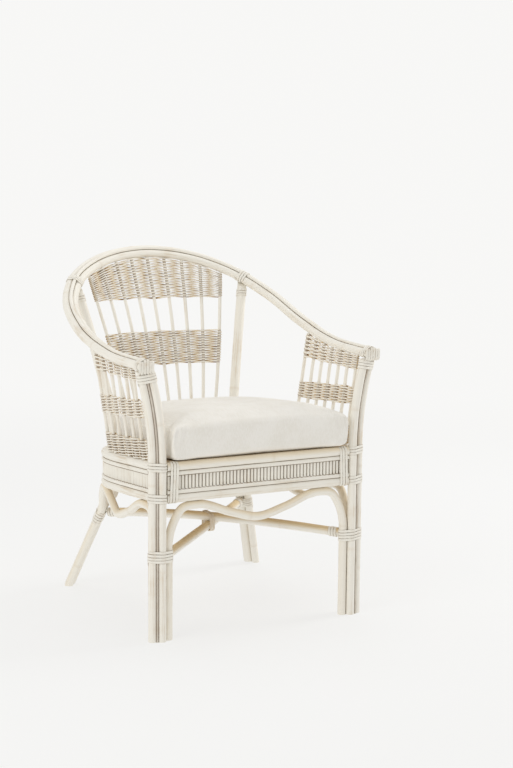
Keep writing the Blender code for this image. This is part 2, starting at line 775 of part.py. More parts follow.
def stretcher_path(height, middle):
    front, rear = stretcher_ends(height, middle - height)
    steps = 8
    share = (CROSSING - front * Vector((1, 1, 0))).length / (rear - front).length
    path = []
    for step in range(steps + 1):
        along = step / steps
        bow = along / share if along < share else (1 - along) / (1 - share)
        point = front.lerp(rear, along)
        point.z += (middle - height) * (1 - (1 - bow) ** 2)
        path.append(point)
    return path


LOW_STRETCHER = stretcher_path(LOW_STRETCHER_Z, LOW_STRETCHER_Z)
HIGH_STRETCHER = mirrored(stretcher_path(HIGH_STRETCHER_Z, LOW_STRETCHER_Z + STRETCHER_D + 2 * GAP))


def make_stretchers():
    pole("low_stretcher", LOW_STRETCHER, STRETCHER_D)
    pole("high_stretcher", HIGH_STRETCHER, STRETCHER_D)


# Bindings


def make_leg_bindings():
    along_x = Vector((1, 0, 0))
    upright = Vector((0, 0, 1))
    legs = (
        ("front_leg_binding", LEG_BINDING_HEIGHT, LEG_CIRCLES, LEG_BINDING_TURNS),
        ("seat_top_binding", TOP_RAIL_Z, POST_CIRCLES, SEAT_BINDING_TURNS),
        ("seat_bottom_binding", BOTTOM_RAIL_Z, POST_CIRCLES, SEAT_BINDING_TURNS),
    )
    for name, height, circles, turns in legs:
        both_bindings(name, Vector((LEG_X, 0.0, height)), upright, along_x, circles, turns)
    height = POST_TOP - winding_length(ARM_POST_BINDING_TURNS) / 2 - GAP
    _, slope = arm_lean(height)
    axis = Vector((slope, 0.0, 1.0))
    both_bindings(
        "arm_post_binding",
        on_arm_post(0.0, 0.0, height),
        axis,
        along_x,
        POST_CIRCLES,
        ARM_POST_BINDING_TURNS,
        POST_BEND_EASE,
    )
    centre = on_rear_leg(REAR_BINDING_HEIGHT)
    rear = [((0.0, 0.0), POST_R), ((REAR_ARCH_STEP, 0.0), ARCH_R)]
    both_bindings("rear_leg_binding", centre, REAR_RUN, REAR_ARCH_SIDE, rear, LEG_BINDING_TURNS)


def make_rail_bindings():
    rails = [((height - TOP_RAIL_Z, 0.0), RAIL_R) for height in (TOP_RAIL_Z, BOTTOM_RAIL_Z)]
    inset = winding_length(RAIL_BINDING_TURNS) / 2 + RAIL_BINDING_INSET
    centre = Vector((FRONT_END - inset, FRONT_RAIL_SETBACK, TOP_RAIL_Z))
    both_bindings(
        "seat_rail_binding", centre, Vector((1, 0, 0)), Vector((0, 0, 1)), rails, RAIL_BINDING_TURNS
    )


def make_hoop_bindings():
    over_arm_post = where(HOOP[: HOOP_POINTS // 4], 1, LEG_POLE_STEP / 2)
    loops = (
        ("arm_end_loops", over_arm_post, 0, ARM_LOOP_TURNS, BEND_EASE),
        ("hoop_post_loops", HOOP[POST_INDEX], POST_INDEX, HOOP_LOOP_TURNS, POST_LOOP_EASE),
    )
    for name, centre, index, turns, ease in loops:
        outward, _ = hoop_frame(index)
        axis = heading(HOOP, index)
        both_bindings(name, centre, axis, -outward, HOOP_CIRCLES, turns, ease)
    path = rear_leg_path()
    axis = (path[-1] - path[-2]).normalized()
    _, upper = hoop_frame(POST_INDEX)
    drop = wound(HOOP_R + POST_LOOP_EASE + GAP) + POST_R * math.sqrt(1 - axis.dot(upper) ** 2)
    length = drop / axis.dot(upper) + winding_length(POST_BINDING_TURNS) / 2
    circles = [((0.0, 0.0), POST_R)]
    both_bindings(
        "back_post_binding", path[-1] - axis * length, axis, Vector((1, 0, 0)), circles, POST_BINDING_TURNS
    )


def make_stretcher_bindings():
    circles = [((0.0, 0.0), STRETCHER_D / 2)]
    upright = Vector((0, 0, 1))
    inset = winding_length(STRETCHER_BINDING_TURNS) / 2 + GAP
    for name, path in (("low_stretcher", LOW_STRETCHER), ("high_stretcher", HIGH_STRETCHER)):
        for end, first, second in (("front", path[0], path[1]), ("rear", path[-1], path[-2])):
            axis = (second - first).normalized()
            centre = first + axis * inset
            binding(f"{name}_{end}_binding", centre, axis, upright, circles, STRETCHER_BINDING_TURNS)
    run = (LOW_STRETCHER[-1] - LOW_STRETCHER[0]).normalized()
    radius = STRETCHER_D / 2
    reach = winding_length(CROSS_BINDING_TURNS) / 2 * run.y / run.x + radius / run.x - radius
    top = LOW_STRETCHER_Z + STRETCHER_D + 2 * GAP
    crossed = [((0.0, side * reach), radius) for side in (-1, 1)]
    crossed += [((top - LOW_STRETCHER_Z, side * reach), radius) for side in (-1, 1)]
    centre = Vector((0.0, CROSSING.y, LOW_STRETCHER_Z))
    binding("stretcher_cross_binding", centre, Vector((1, 0, 0)), upright, crossed, CROSS_BINDING_TURNS)


# Wicker panels


def stake_path(foot, head, bow):
    """A stake that stands on a rail and ends under the hoop, bowed forwards in the middle."""
    (low, low_along), (high, high_along) = foot, head
    rise = (high - low).normalized()

    def clear(radius, along):
        cosine = abs(rise.dot(along))
        return (radius + STAKE_D / 2 * cosine) / math.sqrt(1 - cosine**2)

    start = low + rise * clear(RAIL_R + STAKE_FOOT_GAP, low_along)
    end = high - rise * clear(HOOP_R + STAKE_HEAD_GAP, high_along)
    path = []
    for step in range(STAKE_STEPS + 1):
        share = step / STAKE_STEPS
        path.append(start.lerp(end, share) - Vector((0, bow * math.sin(math.pi * share), 0)))
    return path


def spot_on(path, axis, value):
    """A point of a path where a coordinate has a value, and the path's heading there."""
    spot = where(path, axis, value)
    near = where(path, axis, value - HEADING_STEP)
    return spot, (spot - near).normalized()


RING_RAIL = ring_run(0.0, TOP_RAIL_Z)
HALF_RAIL = RING_RAIL[: RING_POINTS // 2 + 2]
HALF_HOOP = HOOP_INNER[: HOOP_POINTS // 2 + 2]


def back_stake(share):
    """A back stake, from 0 at the right edge of the panel to 1 at its left edge."""
    side = 2 * share - 1
    low, low_along = spot_on(HALF_RAIL, 0, abs(side) * (POST_SEAT_HALF - BACK_POST_GAP_LOW))
    high, high_along = spot_on(HALF_HOOP, 0, abs(side) * (POST_TOP_HALF - BACK_POST_GAP_HIGH))
    path = stake_path((low, low_along), (high, high_along), BACK_STAKE_BOW)
    return path if side > 0 else mirrored(path)


def side_stake(share):
    """A stake of the left panel, from 0 beside the arm post to 1 at its open rear edge."""
    place = SIDE_PANEL_FRONT + (SIDE_PANEL_BACK - SIDE_PANEL_FRONT) * share
    return stake_path(spot_on(HALF_RAIL, 1, place), spot_on(HALF_HOOP, 1, place), 0.0)


def right_side_stake(share):
    return mirrored(side_stake(share))


def wicker_panel(name, stake_at, stakes, bands, edge):
    """Stakes joined by woven bands, each given as the heights of its lower and upper edge at a stake."""
    rods = bmesh.new()
    for index in range(stakes):
        rod = tube_mesh(name + "_stake", stake_at(index / (stakes - 1)), STAKE_D, STAKE_SMOOTHNESS)
        rods.from_mesh(rod)
        bpy.data.meshes.remove(rod)
    bmesh.ops.remove_doubles(rods, verts=rods.verts, dist=WELD)
    stake_object = add(name + "_stakes", mesh_of(rods, name + "_stakes"), WICKER)
    stake_object.hide_render = True
    stake_object.display_type = "WIRE"
    columns = stakes - 1
    weave = bmesh.new()
    for band in bands:
        grid = []
        for column in range(columns + 1):
            share = -edge + (1 + 2 * edge) * column / columns
            path = stake_at(share)
            low, high = band(path)
            low_end = where(path, 2, low)
            high_end = where(path, 2, high)
            grid.append((weave.verts.new(low_end), weave.verts.new(high_end)))
        for left, right in zip(grid, grid[1:]):
            weave.faces.new((left[0], right[0], right[1], left[1]))
    panel = add(name, mesh_of(weave, name), WICKER)
    thick = panel.modifiers.new("thickness", "SOLIDIFY")
    thick.thickness = WEAVE_THICKNESS
    thick.offset = 0.0
    joined = panel.modifiers.new("stakes", "BOOLEAN")
    joined.operation = "UNION"
    joined.object = stake_object


def seat_band(path):
    return path[0].z + WEAVE_EDGE, path[0].z + SEAT_BAND_HEIGHT


def back_height(share):
    """A height on the back, from 0 at the seat to 1 at the top of the hoop."""
    return SEAT_TOP + (ARM_END_HEIGHT + BACK_TOP_RISE - SEAT_TOP) * share


def side_height(share):
    """A height at the front of the sides, from 0 at the seat to 1 at the end of the arm."""
    return SEAT_TOP + (ARM_END_HEIGHT - SEAT_TOP) * share


def back_low_band(path):
    low, high = BACK_LOW_BAND_SHARES
    return back_height(low), back_height(high)


def back_top_band(path):
    return back_height(BACK_TOP_BAND_SHARE), path[-1].z - WEAVE_EDGE


def side_low_band(path):
    low, high = SIDE_LOW_BAND_SHARES
    return raked(path[0], side_height(low)).z, raked(path[0], side_height(high)).z


def side_top_band(path):
    return side_height(SIDE_TOP_BAND_SHARE), path[-1].z - WEAVE_EDGE


def make_wicker():
    back_edge = WEAVE_EDGE / (2 * POST_SEAT_HALF - 2 * BACK_POST_GAP_LOW)
    bands = (seat_band, back_low_band, back_top_band)
    wicker_panel("back_wicker_panel", back_stake, BACK_STAKES, bands, back_edge)
    side_edge = WEAVE_EDGE / (SIDE_PANEL_BACK - SIDE_PANEL_FRONT)
    bands = (seat_band, side_low_band, side_top_band)
    wicker_panel("left_wicker_panel", side_stake, SIDE_STAKES, bands, side_edge)
    wicker_panel("right_wicker_panel", right_side_stake, SIDE_STAKES, bands, side_edge)


# Seat deck

DECK_FRONT = FRONT_RAIL_SETBACK + bound(RAIL_R) + GAP


def make_deck():
    inner = outset(RING, -(RAIL_R + 3 * GAP))
    outline = [Vector((inner[0].x, DECK_FRONT, 0.0)), *inner, Vector((inner[-1].x, DECK_FRONT, 0.0))]
    bm = bmesh.new()
    board = bm.faces.new([bm.verts.new(raked(point, SEAT_TOP - DECK_THICKNESS)) for point in outline])
    raised = bmesh.ops.extrude_face_region(bm, geom=[board], use_keep_orig=True)
    top = [item for item in raised["geom"] if isinstance(item, bmesh.types.BMVert)]
    bmesh.ops.translate(bm, verts=top, vec=(0, 0, DECK_THICKNESS))
    add("seat_deck_board", mesh_of(bm, "seat_deck_board"), BOARD)
    for name, back in (("front", BEARER_FRONT), ("rear", BEARER_BACK)):
        reach = min(where(LEFT_RING, 1, back + side * BEARER_D / 2).x for side in (-1, 1))
        half = reach - RAIL_R - 2 * GAP
        height = SEAT_TOP - DECK_THICKNESS - GAP - BEARER_D / 2
        ends = [raked(Vector((side * half, back, 0.0)), height - GAP) for side in (-1, 1)]
        pole(f"seat_{name}_bearer", ends, BEARER_D)


# Cushion

CUSHION_FRONT = FRONT_RAIL_SETBACK - RAIL_R - CUSHION_FRONT_LIP
CUSHION_BACK = SEAT_DEPTH - CUSHION_BACK_GAP


def cushion_outline(inset):
    """The cushion's plan: straight front with round corners, and a back that follows the seat."""
    half = CUSHION_HALF - inset
    corner = CUSHION_CORNER_R - inset
    front = CUSHION_FRONT + inset
    depth = CUSHION_BACK - inset - SEAT_STRAIGHT
    path = [Vector((0.0, front, 0.0))]
    steps = 12
    for step in range(steps + 1):
        angle = math.pi / 2 * step / steps
        x = half - corner + corner * math.sin(angle)
        path.append(Vector((x, front + corner - corner * math.cos(angle), 0.0)))
    for step in range(4 * steps + 1):
        angle = math.pi / 2 * step / (4 * steps)
        across = max(math.cos(angle), 0.0) ** (2 / SEAT_SQUARENESS)
        back = math.sin(angle) ** (2 / SEAT_SQUARENESS)
        path.append(Vector((half * across, SEAT_STRAIGHT + depth * back, 0.0)))
    outline = evenly(path + mirrored(path)[-2::-1], CUSHION_POINTS + 1)[:-1]
    middle = (front + SEAT_STRAIGHT) / 2
    reach = (SEAT_STRAIGHT - front) / 2
    for point in outline:
        if point.y < front + corner:
            point.y += CUSHION_DRAW_IN * (1 - (point.x / half) ** 2)
        if abs(point.y - middle) < reach:
            point.x *= 1 - CUSHION_DRAW_IN / half * (1 - ((point.y - middle) / reach) ** 2)
    return outline


def cushion_rings(inset):
    """The cushion's skin from its underside up to its crown, drawn in by an inset."""
    middle = Vector((0.0, (CUSHION_FRONT + CUSHION_BACK) / 2, 0.0))
    base = cushion_outline(inset)
    low = SEAT_TOP + GAP + inset
    high = SEAT_TOP + GAP + CUSHION_EDGE - inset
    half = CUSHION_HALF - inset
    corner = CUSHION_ROUND
    slit = ZIP_WIDTH / 2
    middle_height = (low + high) / 2
    cut = corner * (1 - math.cos(math.pi / 4))
    profile = [(CUSHION_BASE_INSET, low), (corner, low), (cut, low + cut), (0.0, low + corner)]
    profile += [(0.0, middle_height - slit), (0.0, middle_height + slit)]
    profile += [(0.0, high - corner), (cut, high - cut), (corner, high)]
    for across, rise in CUSHION_CROWN_SHARES:
        profile.append((half * across, high + CUSHION_CROWN * rise))
    rings = []
    for draw, height in profile:
        keep = 1 - draw / half
        rings.append([raked(middle.lerp(point, keep), height) for point in base])
    return rings


def make_cushion():
    rings = cushion_rings(0.0)
    bm = skin(rings)
    slit_low = rings[4][0].z + SEAT_RAKE * rings[4][0].y
    slit_high = rings[5][0].z + SEAT_RAKE * rings[5][0].y
    doomed = []
    for face in bm.faces:
        spot = face.calc_center_median()
        level = spot.z + SEAT_RAKE * spot.y
        if slit_low < level < slit_high and spot.y > SEAT_STRAIGHT and abs(spot.x) < ZIP_OPENING / 2:
            doomed.append(face)
    bmesh.ops.delete(bm, geom=doomed, context="FACES")
    cover = add("cushion_cover", mesh_of(bm, "cushion_cover"), CANVAS)
    thick = cover.modifiers.new("cloth", "SOLIDIFY")
    thick.thickness = COVER_THICKNESS
    thick.offset = -1.0
    add("cushion_foam", mesh_of(skin(cushion_rings(FOAM_INSET)), "cushion_foam"), FOAM)


def centre_on_footprint():
    """Moves the chair so that the middle of its footprint is over the origin."""
    bpy.context.view_layer.update()
    corners = [
        item.matrix_world @ Vector(corner)
        for item in bpy.data.objects
        if item.type == "MESH" and not item.hide_render
        for corner in item.bound_box
    ]
    depths = [corner.y for corner in corners]
    CHAIR.location.y = -(min(depths) + max(depths)) / 2


def main():
    make_front_legs()
    make_rear_legs()
    make_arches()
    make_seat_frame()
    make_stretchers()
    make_hoop()
    make_wicker()
    make_leg_bindings()
    make_rail_bindings()
    make_hoop_bindings()
    make_stretcher_bindings()
    make_deck()
    make_cushion()
    centre_on_footprint()


main()
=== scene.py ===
"""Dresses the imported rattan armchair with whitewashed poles, cane bindings, wicker and a canvas cushion."""

import json
import math

import bmesh
import bpy
import numpy as np
from mathutils import Matrix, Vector
from mathutils.bvhtree import BVHTree

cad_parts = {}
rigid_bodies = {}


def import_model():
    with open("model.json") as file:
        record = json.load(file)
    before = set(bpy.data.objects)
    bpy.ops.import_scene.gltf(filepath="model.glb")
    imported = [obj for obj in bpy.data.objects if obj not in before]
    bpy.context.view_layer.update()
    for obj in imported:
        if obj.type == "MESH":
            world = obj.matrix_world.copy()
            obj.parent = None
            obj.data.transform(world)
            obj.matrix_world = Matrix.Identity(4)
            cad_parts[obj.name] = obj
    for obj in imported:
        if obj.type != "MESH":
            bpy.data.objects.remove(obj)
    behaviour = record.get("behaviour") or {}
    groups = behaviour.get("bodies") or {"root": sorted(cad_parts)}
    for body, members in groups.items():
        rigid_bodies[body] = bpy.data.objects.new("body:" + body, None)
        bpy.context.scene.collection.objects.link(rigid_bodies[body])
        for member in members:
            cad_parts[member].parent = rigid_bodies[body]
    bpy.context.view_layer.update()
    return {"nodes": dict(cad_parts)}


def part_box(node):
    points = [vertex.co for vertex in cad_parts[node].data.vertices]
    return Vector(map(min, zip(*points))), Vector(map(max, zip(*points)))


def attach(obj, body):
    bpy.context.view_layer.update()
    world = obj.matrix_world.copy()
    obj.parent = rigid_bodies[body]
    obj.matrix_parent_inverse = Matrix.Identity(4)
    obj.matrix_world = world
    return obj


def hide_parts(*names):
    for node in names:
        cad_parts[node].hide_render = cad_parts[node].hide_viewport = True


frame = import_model()

bl_info = {
    "name": "Rattan armchair dressing",
    "version": (1, 0, 0),
    "blender": (4, 5, 0),
    "location": "View3D > Sidebar > Rattan chair",
    "description": "Builds the visible pieces of a whitewashed rattan armchair over its CAD frame",
    "category": "Object",
}

# Sizes of the frame, in metres, measured from the middle pole of the front legs
GAP = 0.0003
LEG_X = 0.242
LEG_R = 0.010
LEG_POLE_STEP = 0.007
ARM_FLARE = 0.032
POST_STRIP_R = 0.0023
SEAT_TOP = 0.401
SEAT_DEPTH = 0.468
SEAT_RAKE = 0.078
SEAT_HALF = 0.247
SEAT_STRAIGHT = 0.195
SEAT_SQUARENESS = 3.0
FRONT_SETBACK = 0.0035
RAIL_R = 0.0105
STRIP_R = 0.005
BAND_SETBACK = 0.001
REED_HEIGHT = 0.0314
REED_PITCH = 0.0086
REED_CREST = 0.007
REED_FULLNESS = 0.41
SHADE_WALL_THICKNESS = 0.0012
ARCH_R = 0.0095
ARCH_SHOULDER = 0.215
ARCH_HUMP_INSET = 0.071
ARCH_DIP = 0.042
ARCH_CLEARANCE = 0.0005
ARCH_STRAIGHT_SHARE = 0.1
ARCH_BEND_SHARES = (0.20, 0.62)
ARCH_CREST_SHARES = (0.46, 0.93)
ARCH_SLOPE_SHARES = (0.55, 0.62)
POST_R = 0.012
POST_SEAT_HALF = 0.155
POST_TOP_HALF = 0.219
POST_BELLY = 0.10
REAR_FOOT = np.array((0.2525, 0.540, 0.0))
REAR_KNEE = np.array((0.187, 0.4655, 0.215))
REAR_ARCH_BEARING = np.array((0.47, -0.88, 0.0))
STRETCHER_R = 0.0105
STRETCHER_HEIGHT = 0.187
STRETCHER_STAGGER = 0.010
HOOP_R = 0.0095
HOOP_STRIP_R = 0.0045
HOOP_TILT = math.radians(33)
HOOP_TILT_ONSET = 1.25
ARM_OVERHANG = 0.0125
ARM_END_HEIGHT = 0.616
HOOP_BENDS = (
    (1.2025, 0.183, 0.009),
    (1.2066, 0.346, 0.046),
    (1.1157, 0.474, 0.101),
    (0.8678, 0.567, 0.154),
    (0.4793, 0.624, 0.191),
    (0.0, 0.644, 0.205),
)
BACK_TOP_RISE = HOOP_BENDS[-1][2]
STAKE_R = 0.0041
BACK_STAKES = 9
BACK_POST_GAP_LOW = 0.049
BACK_POST_GAP_HIGH = 0.036
BACK_STAKE_BOW = 0.012
SIDE_STAKES = 7
SIDE_PANEL_FRONT = 0.040
SIDE_PANEL_BACK = 0.286
WEAVE_EDGE = 0.0003
WEAVE_SWING = 0.0037
SEAT_BAND_HEIGHT = 0.046
BACK_LOW_BAND = (0.338, 0.531)
BACK_TOP_BAND = 0.724
SIDE_LOW_BAND = (0.442, 0.633)
SIDE_TOP_BAND = 0.805
CANE_WIDTH = 0.0058
CANE_THICKNESS = 0.0012
CANE_PITCH = 0.0068
LEG_BINDING_HEIGHT = 0.190
REAR_BINDING_HEIGHT = 0.184
RAIL_BINDING_INSET = 0.0005
ARM_END_STRIPS = 6
ARM_STRIP_PITCH = 0.0062
ARM_STRIP_DROP = 0.017
BEND_EASE = 0.0012
POST_BEND_EASE = 0.0004
DECK_THICKNESS = 0.009
BEARER_R = 0.008
BEARER_BACKS = (("front", 0.120), ("rear", 0.285))

# The cushion: its section, front corners, seams and corner folds
CUSHION_HEIGHT = 0.110
CUSHION_EASE = 0.003
CUSHION_FULLNESS = (
    (0.0, 0.0),
    (0.013, 0.004),
    (0.026, 0.013),
    (0.054, 0.068),
    (0.072, 0.082),
    (0.080, 0.089),
    (0.093, 0.100),
    (0.102, 0.106),
    (0.110, 0.110),
)
CUSHION_CORNER = 0.055
CUSHION_SQUARENESS = 9.0
CUSHION_FRONT_CROWN = 0.006
CUSHION_CROWN_DEPTH = 0.10
CUSHION_FRONT_LIFT = 0.006
CUSHION_LIFT_DEPTH = 0.022
CUSHION_SMOOTHING = 4
CUSHION_PRESSURE = 4.0
CUSHION_FRAMES = 20
SEAM_HEIGHTS = (0.005, 0.085)
SEAM_WIDTH = 0.0032
SEAM_DEPTH = 0.0009
# How dark the painted shade in a seam crease is
SEAM_SHADE = 0.15
SEAM_STITCHES = 96.0
STITCH_DEPTH = 0.25
FOLD_SPREAD = (0.045, 0.05)
FOLD_LEVEL = 0.062
FOLD_HEIGHT = 0.03
FOLD_LEAN = 0.25
FOLD_DEPTH = 0.0014
FOLD_PITCH = 0.019

# Rings, wavers (share of the radius, rate along the pole) and grain of a pole, and its rounded ends
KNOT_WIDTH = 0.005
KNOT_LINE = 0.0035
KNOT_HOLLOW = 0.4
KNOT_HOLLOW_PLACE = 0.008
KNOT_HOLLOW_WIDTH = 0.004
FIRST_KNOT = (0.3, 1.0)
NEXT_KNOT = (0.75, 1.25)
LONG_WAVER = (0.012, 37.0)
SHORT_WAVER = (0.008, 83.0)
ANY_PHASE = (0, 6)
GRAIN_OFFSET = 3.7
GRAIN_KINDS = 11
STEEP = 0.8
HOOP_SOFT_END = 0.5
STRIP_SOFT_END = 0.6
SOFT_END_LIMIT = 0.97
SOFT_END_SHARES = np.array((0.0, 0.08, 0.22, 0.42, 0.68, 1.0))

# Cane strips: turns, drift, tucked ends, and stations (forward, up) of those over an arm's end
WINDING_TURNS = 3
LEG_TURNS = 4
CROSS_TURNS = 2
WINDING_DRIFT = 0.00018
WINDING_SWAY = 0.37
TUCKED_WIDTH = 0.75
TUCKED_THICKNESS = 0.4
# Painted shade along a cane strip's edges: where it starts across the strip, over what span, and how dark
CANE_EDGE = 0.8
CANE_EDGE_SPAN = 0.2
CANE_EDGE_SHADE = 0.25
ARM_STRIP_TUCK = 4
ARM_STRIP_OVER = ((-0.0032, 0.0003), (-0.0004, 0.0004), (0.0008, -0.0012), (0.0010, -0.004))
ARM_STRIP_DOWN = ((0.0010, -0.005), (0.0009, -0.0098), (-0.0004, -0.0122))

# Reeds: heights and widths of a reed's rows, and how one differs from the next
REED_ENDS = ((0.0, 0.8), (0.05, 1.0), (0.95, 1.0), (1.0, 0.8))
REED_FATNESS = (0.94, 1.0)
REED_LIFT = (-0.0003, 0.0003)
REED_GRAIN = (0, 9)
REED_TONE = (0.75, 1.0)
# Painted shade on the reeds' flanks, and how dark the wall of painted shade behind them is
REED_FLANK = 0.72
REED_FLANK_SPAN = 0.28
REED_FLANK_SHADE = 0.45
SHADE_WALL_DARKNESS = 0.58

# Weave: how rows and strands wander, and how white they are; a strand's tone is mostly painted light
LEAST_ROWS = 4
ROW_WANDER = 0.16
ROW_WANDER_RATE = 2.1
STRAND_JITTER = 0.06
STRAND_JITTER_RATE = 50
STRAND_HALF_HEIGHT = 0.49
EDGE_TURN = np.radians((30, 60, 90, 120, 150))
# Painted light on a strand: dark flanks, lit faces, a painted highlight over a stake and painted shade where
# it dives under
TONE_FLANK = 0.10
TONE_FACE = 0.72
TONE_ROUNDNESS = 0.6
TONE_OVER = 0.42
TONE_UNDER = 0.68
DIVE_SPAN = 0.7
TONE_PATCH = 0.05
TONE_PATCH_RATES = (23.0, 7.3)
BACK_WHITENESS = (0.95, 0.97, 0.99)
SIDE_WHITENESS = (1.4, 1.45, 1.45)

# Painted shade where pieces lie close: how far it reaches from a neighbour, and how dark it is
SHADE_REACH = 0.0025
SHADE_BY_CANE = 0.62
POST_STRIP_SHADE = 0.5
STAKE_SHADE = 0.5

# Studio: floor, lamps (name, place, width) and the photograph's camera
FLOOR_RADIUS = 40.0
FLOOR_SIDES = 96
LAMPS = (
    ("key", (-3.0, -1.2, 2.2), 2.4),
    ("fill", (3.1, -0.3, 2.0), 1.4),
    ("overhead", (0.4, 1.2, 3.4), 2.6),
)
LAMP_AIM = (0.0, 0.0, 0.4)
LAMP_UP = (0.0, 0.001, 1.0)
CAMERA_PLACE = (-1.605, -3.038, 1.056)
CAMERA_TURN = math.radians(-27.683)
CAMERA_TILT = math.radians(8.201)
CAMERA_ROLL = math.radians(0.483)
CAMERA_LENS = 72.886
CAMERA_SENSOR = 36.0

# Fineness of the meshes
POLE_SIDES = 24
THIN_SIDES = 14
STAKE_SIDES = 12
REED_SIDES = 10
STRAND_SIDES = 8
STEP = 0.005
HEADING_STEP = 0.004
END_STEPS = 4
RING_POINTS = 241
OUTLINE_POINTS = 721
STAKE_POINTS = 41
ARM_STRIP_POINTS = 33
TURN_POINTS = 48
TUCK_POINTS = TURN_POINTS / 8
WELD = 0.000001
FOAM_WELD = 0.00001
TINY = 1e-9
SHARP_ANGLE = math.radians(50)
HOOP_COARSE = 33
HOOP_FINE = 12
PAST_MIDDLE = 10
BELOW_FLOOR = -0.02

# Where the front legs stand in the frame of the CAD model
SHIFT = np.array((0.0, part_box("left_front_leg_middle_pole")[0][1] + LEG_R, 0.0))
FLOOR = ((0, 0, 0), (0, 0, 1))
WHITEWASHED = "whitewashed pieces"


# Paths

def smooth_path(stations, steps=16):
    """Points of a smooth curve through stations."""
    p = np.array(stations, float)
    gaps = np.linalg.norm(np.diff(p, axis=0), axis=1)[:, None]
    runs = np.diff(p, axis=0) / gaps
    inner = (runs[:-1] * gaps[1:] + runs[1:] * gaps[:-1]) / (gaps[:-1] + gaps[1:])
    slopes = np.vstack([runs[:1], inner, runs[-1:]])
    t = np.arange(steps)[:, None] / steps
    rows = []
    for i, gap in enumerate(gaps):
        rows.append(
            p[i] * (2 * t**3 - 3 * t**2 + 1)
            + slopes[i] * gap * (t**3 - 2 * t**2 + t)
            + p[i + 1] * (3 * t**2 - 2 * t**3)
            + slopes[i + 1] * gap * (t**3 - t**2)
        )
    return np.vstack([*rows, p[-1:]])


def travel(path):
    """How far along the path each of its points is."""
    return np.concatenate([[0.0], np.cumsum(np.linalg.norm(np.diff(path, axis=0), axis=1))])


def at_travel(path, wanted):
    """Points of a path at these distances along it."""
    along = travel(path)
    return np.stack([np.interp(wanted, along, path[:, axis]) for axis in range(path.shape[1])], axis=1)


def evenly(path, count):
    return at_travel(path, np.linspace(0.0, travel(path)[-1], count))


def spaced(path, step=STEP):
    return evenly(path, max(2, math.ceil(travel(path)[-1] / step) + 1))


def unit(v):
    return np.asarray(v, float) / np.linalg.norm(v)


def units(vectors):
    return vectors / np.linalg.norm(vectors, axis=-1, keepdims=True)


def headings(path):
    return units(np.gradient(path, axis=0))


def bell(distance, width):
    """1 where the distance is nothing, and fading within a few widths."""
    return np.exp(-((distance / width) ** 2))


def where(path, axis, value):
    """The first point of a path at which a coordinate has the value."""
    offset = path[:, axis] - value
    hits = np.nonzero((offset[:-1] * offset[1:] <= 0) & (offset[:-1] != offset[1:]))[0]
    if not len(hits):
        raise RuntimeError(f"the path never reaches {value}")
    i = hits[0]
    return path[i] + (path[i + 1] - path[i]) * offset[i] / (offset[i] - offset[i + 1])


def mirrored(points):
    return points * np.array((-1.0, 1.0, 1.0))


def asides(path):
    """Level directions to the right of a plan path's run, which is its outer side."""
    along = headings(path)
    return np.stack([along[:, 1], -along[:, 0], np.zeros(len(path))], axis=1)


def outset(path, distance):
    """A plan path moved outwards."""
    return path + asides(path) * distance


def raked(points, height):
    """Points of the seat, whose height is that at the front rail, lowered towards the back."""
    points = np.array(points, float)
    points[..., 2] = height - SEAT_RAKE * (points[..., 1] - FRONT_SETBACK)
    return points


def wound(radius):
    """How far the flat sides of a cane binding are from the middle of a pole."""
    return radius + CANE_THICKNESS + 2 * GAP


def winding_length(turns):
    return turns * CANE_PITCH + CANE_WIDTH


# Heights of the seat frame that follow from its sizes
POLE_FLAT = math.cos(math.pi / 8)
STRIP_FLAT = STRIP_R * math.cos(math.pi / 6)
TOP_RAIL_Z = SEAT_TOP - RAIL_R
BAND_OUTSET = RAIL_R - STRIP_R - BAND_SETBACK
STRIP_DROP = math.sqrt((RAIL_R * POLE_FLAT + STRIP_R + GAP) ** 2 - BAND_OUTSET**2)
UPPER_STRIP_Z = TOP_RAIL_Z - STRIP_DROP
REED_BOTTOM = UPPER_STRIP_Z - STRIP_FLAT - 2 * GAP - REED_HEIGHT
LOWER_STRIP_Z = REED_BOTTOM - 2 * GAP - STRIP_FLAT
BOTTOM_RAIL_Z = LOWER_STRIP_Z - STRIP_DROP
FRAME_BOTTOM = BOTTOM_RAIL_Z - RAIL_R
ARCH_LEVEL = FRAME_BOTTOM - ARCH_CLEARANCE - ARCH_R
FRONT_END = LEG_X - wound(LEG_R)
RAIL_START = LEG_POLE_STEP + wound(LEG_R) + RAIL_R * SEAT_RAKE


def seat_ring():
    """The horseshoe of the seat frame in plan, from the left front leg round the back to the right."""
    angle = np.linspace(0.0, math.pi / 2, RING_POINTS)
    power = 2 / SEAT_SQUARENESS
    half = np.zeros((len(angle) + 1, 3))
    half[0] = (SEAT_HALF, RAIL_START, 0.0)
    half[1:, 0] = SEAT_HALF * np.clip(np.cos(angle), 0.0, 1.0) ** power
    half[1:, 1] = SEAT_STRAIGHT + (SEAT_DEPTH - SEAT_STRAIGHT) * np.sin(angle) ** power
    return spaced(np.vstack([half, mirrored(half)[-2::-1]]))


RING = seat_ring()
LEFT_RING = RING[: len(RING) // 2 + PAST_MIDDLE]


def hoop_path(count):
    stations = [(LEG_X + LEG_R + ARM_FLARE, -ARM_OVERHANG, ARM_END_HEIGHT)]
    for share, depth, rise in HOOP_BENDS:
        stations.append((LEG_X * share, depth, ARM_END_HEIGHT + rise))
    left = np.array(stations)
    return evenly(smooth_path(np.vstack([left, mirrored(left)[-2::-1]])), count)


HOOP = hoop_path((HOOP_COARSE - 1) * HOOP_FINE + 1)
POST_INDEX = HOOP_FINE * min(
    range(HOOP_COARSE // 4, HOOP_COARSE // 2),
    key=lambda index: abs(HOOP[index * HOOP_FINE][0] - POST_TOP_HALF),
)


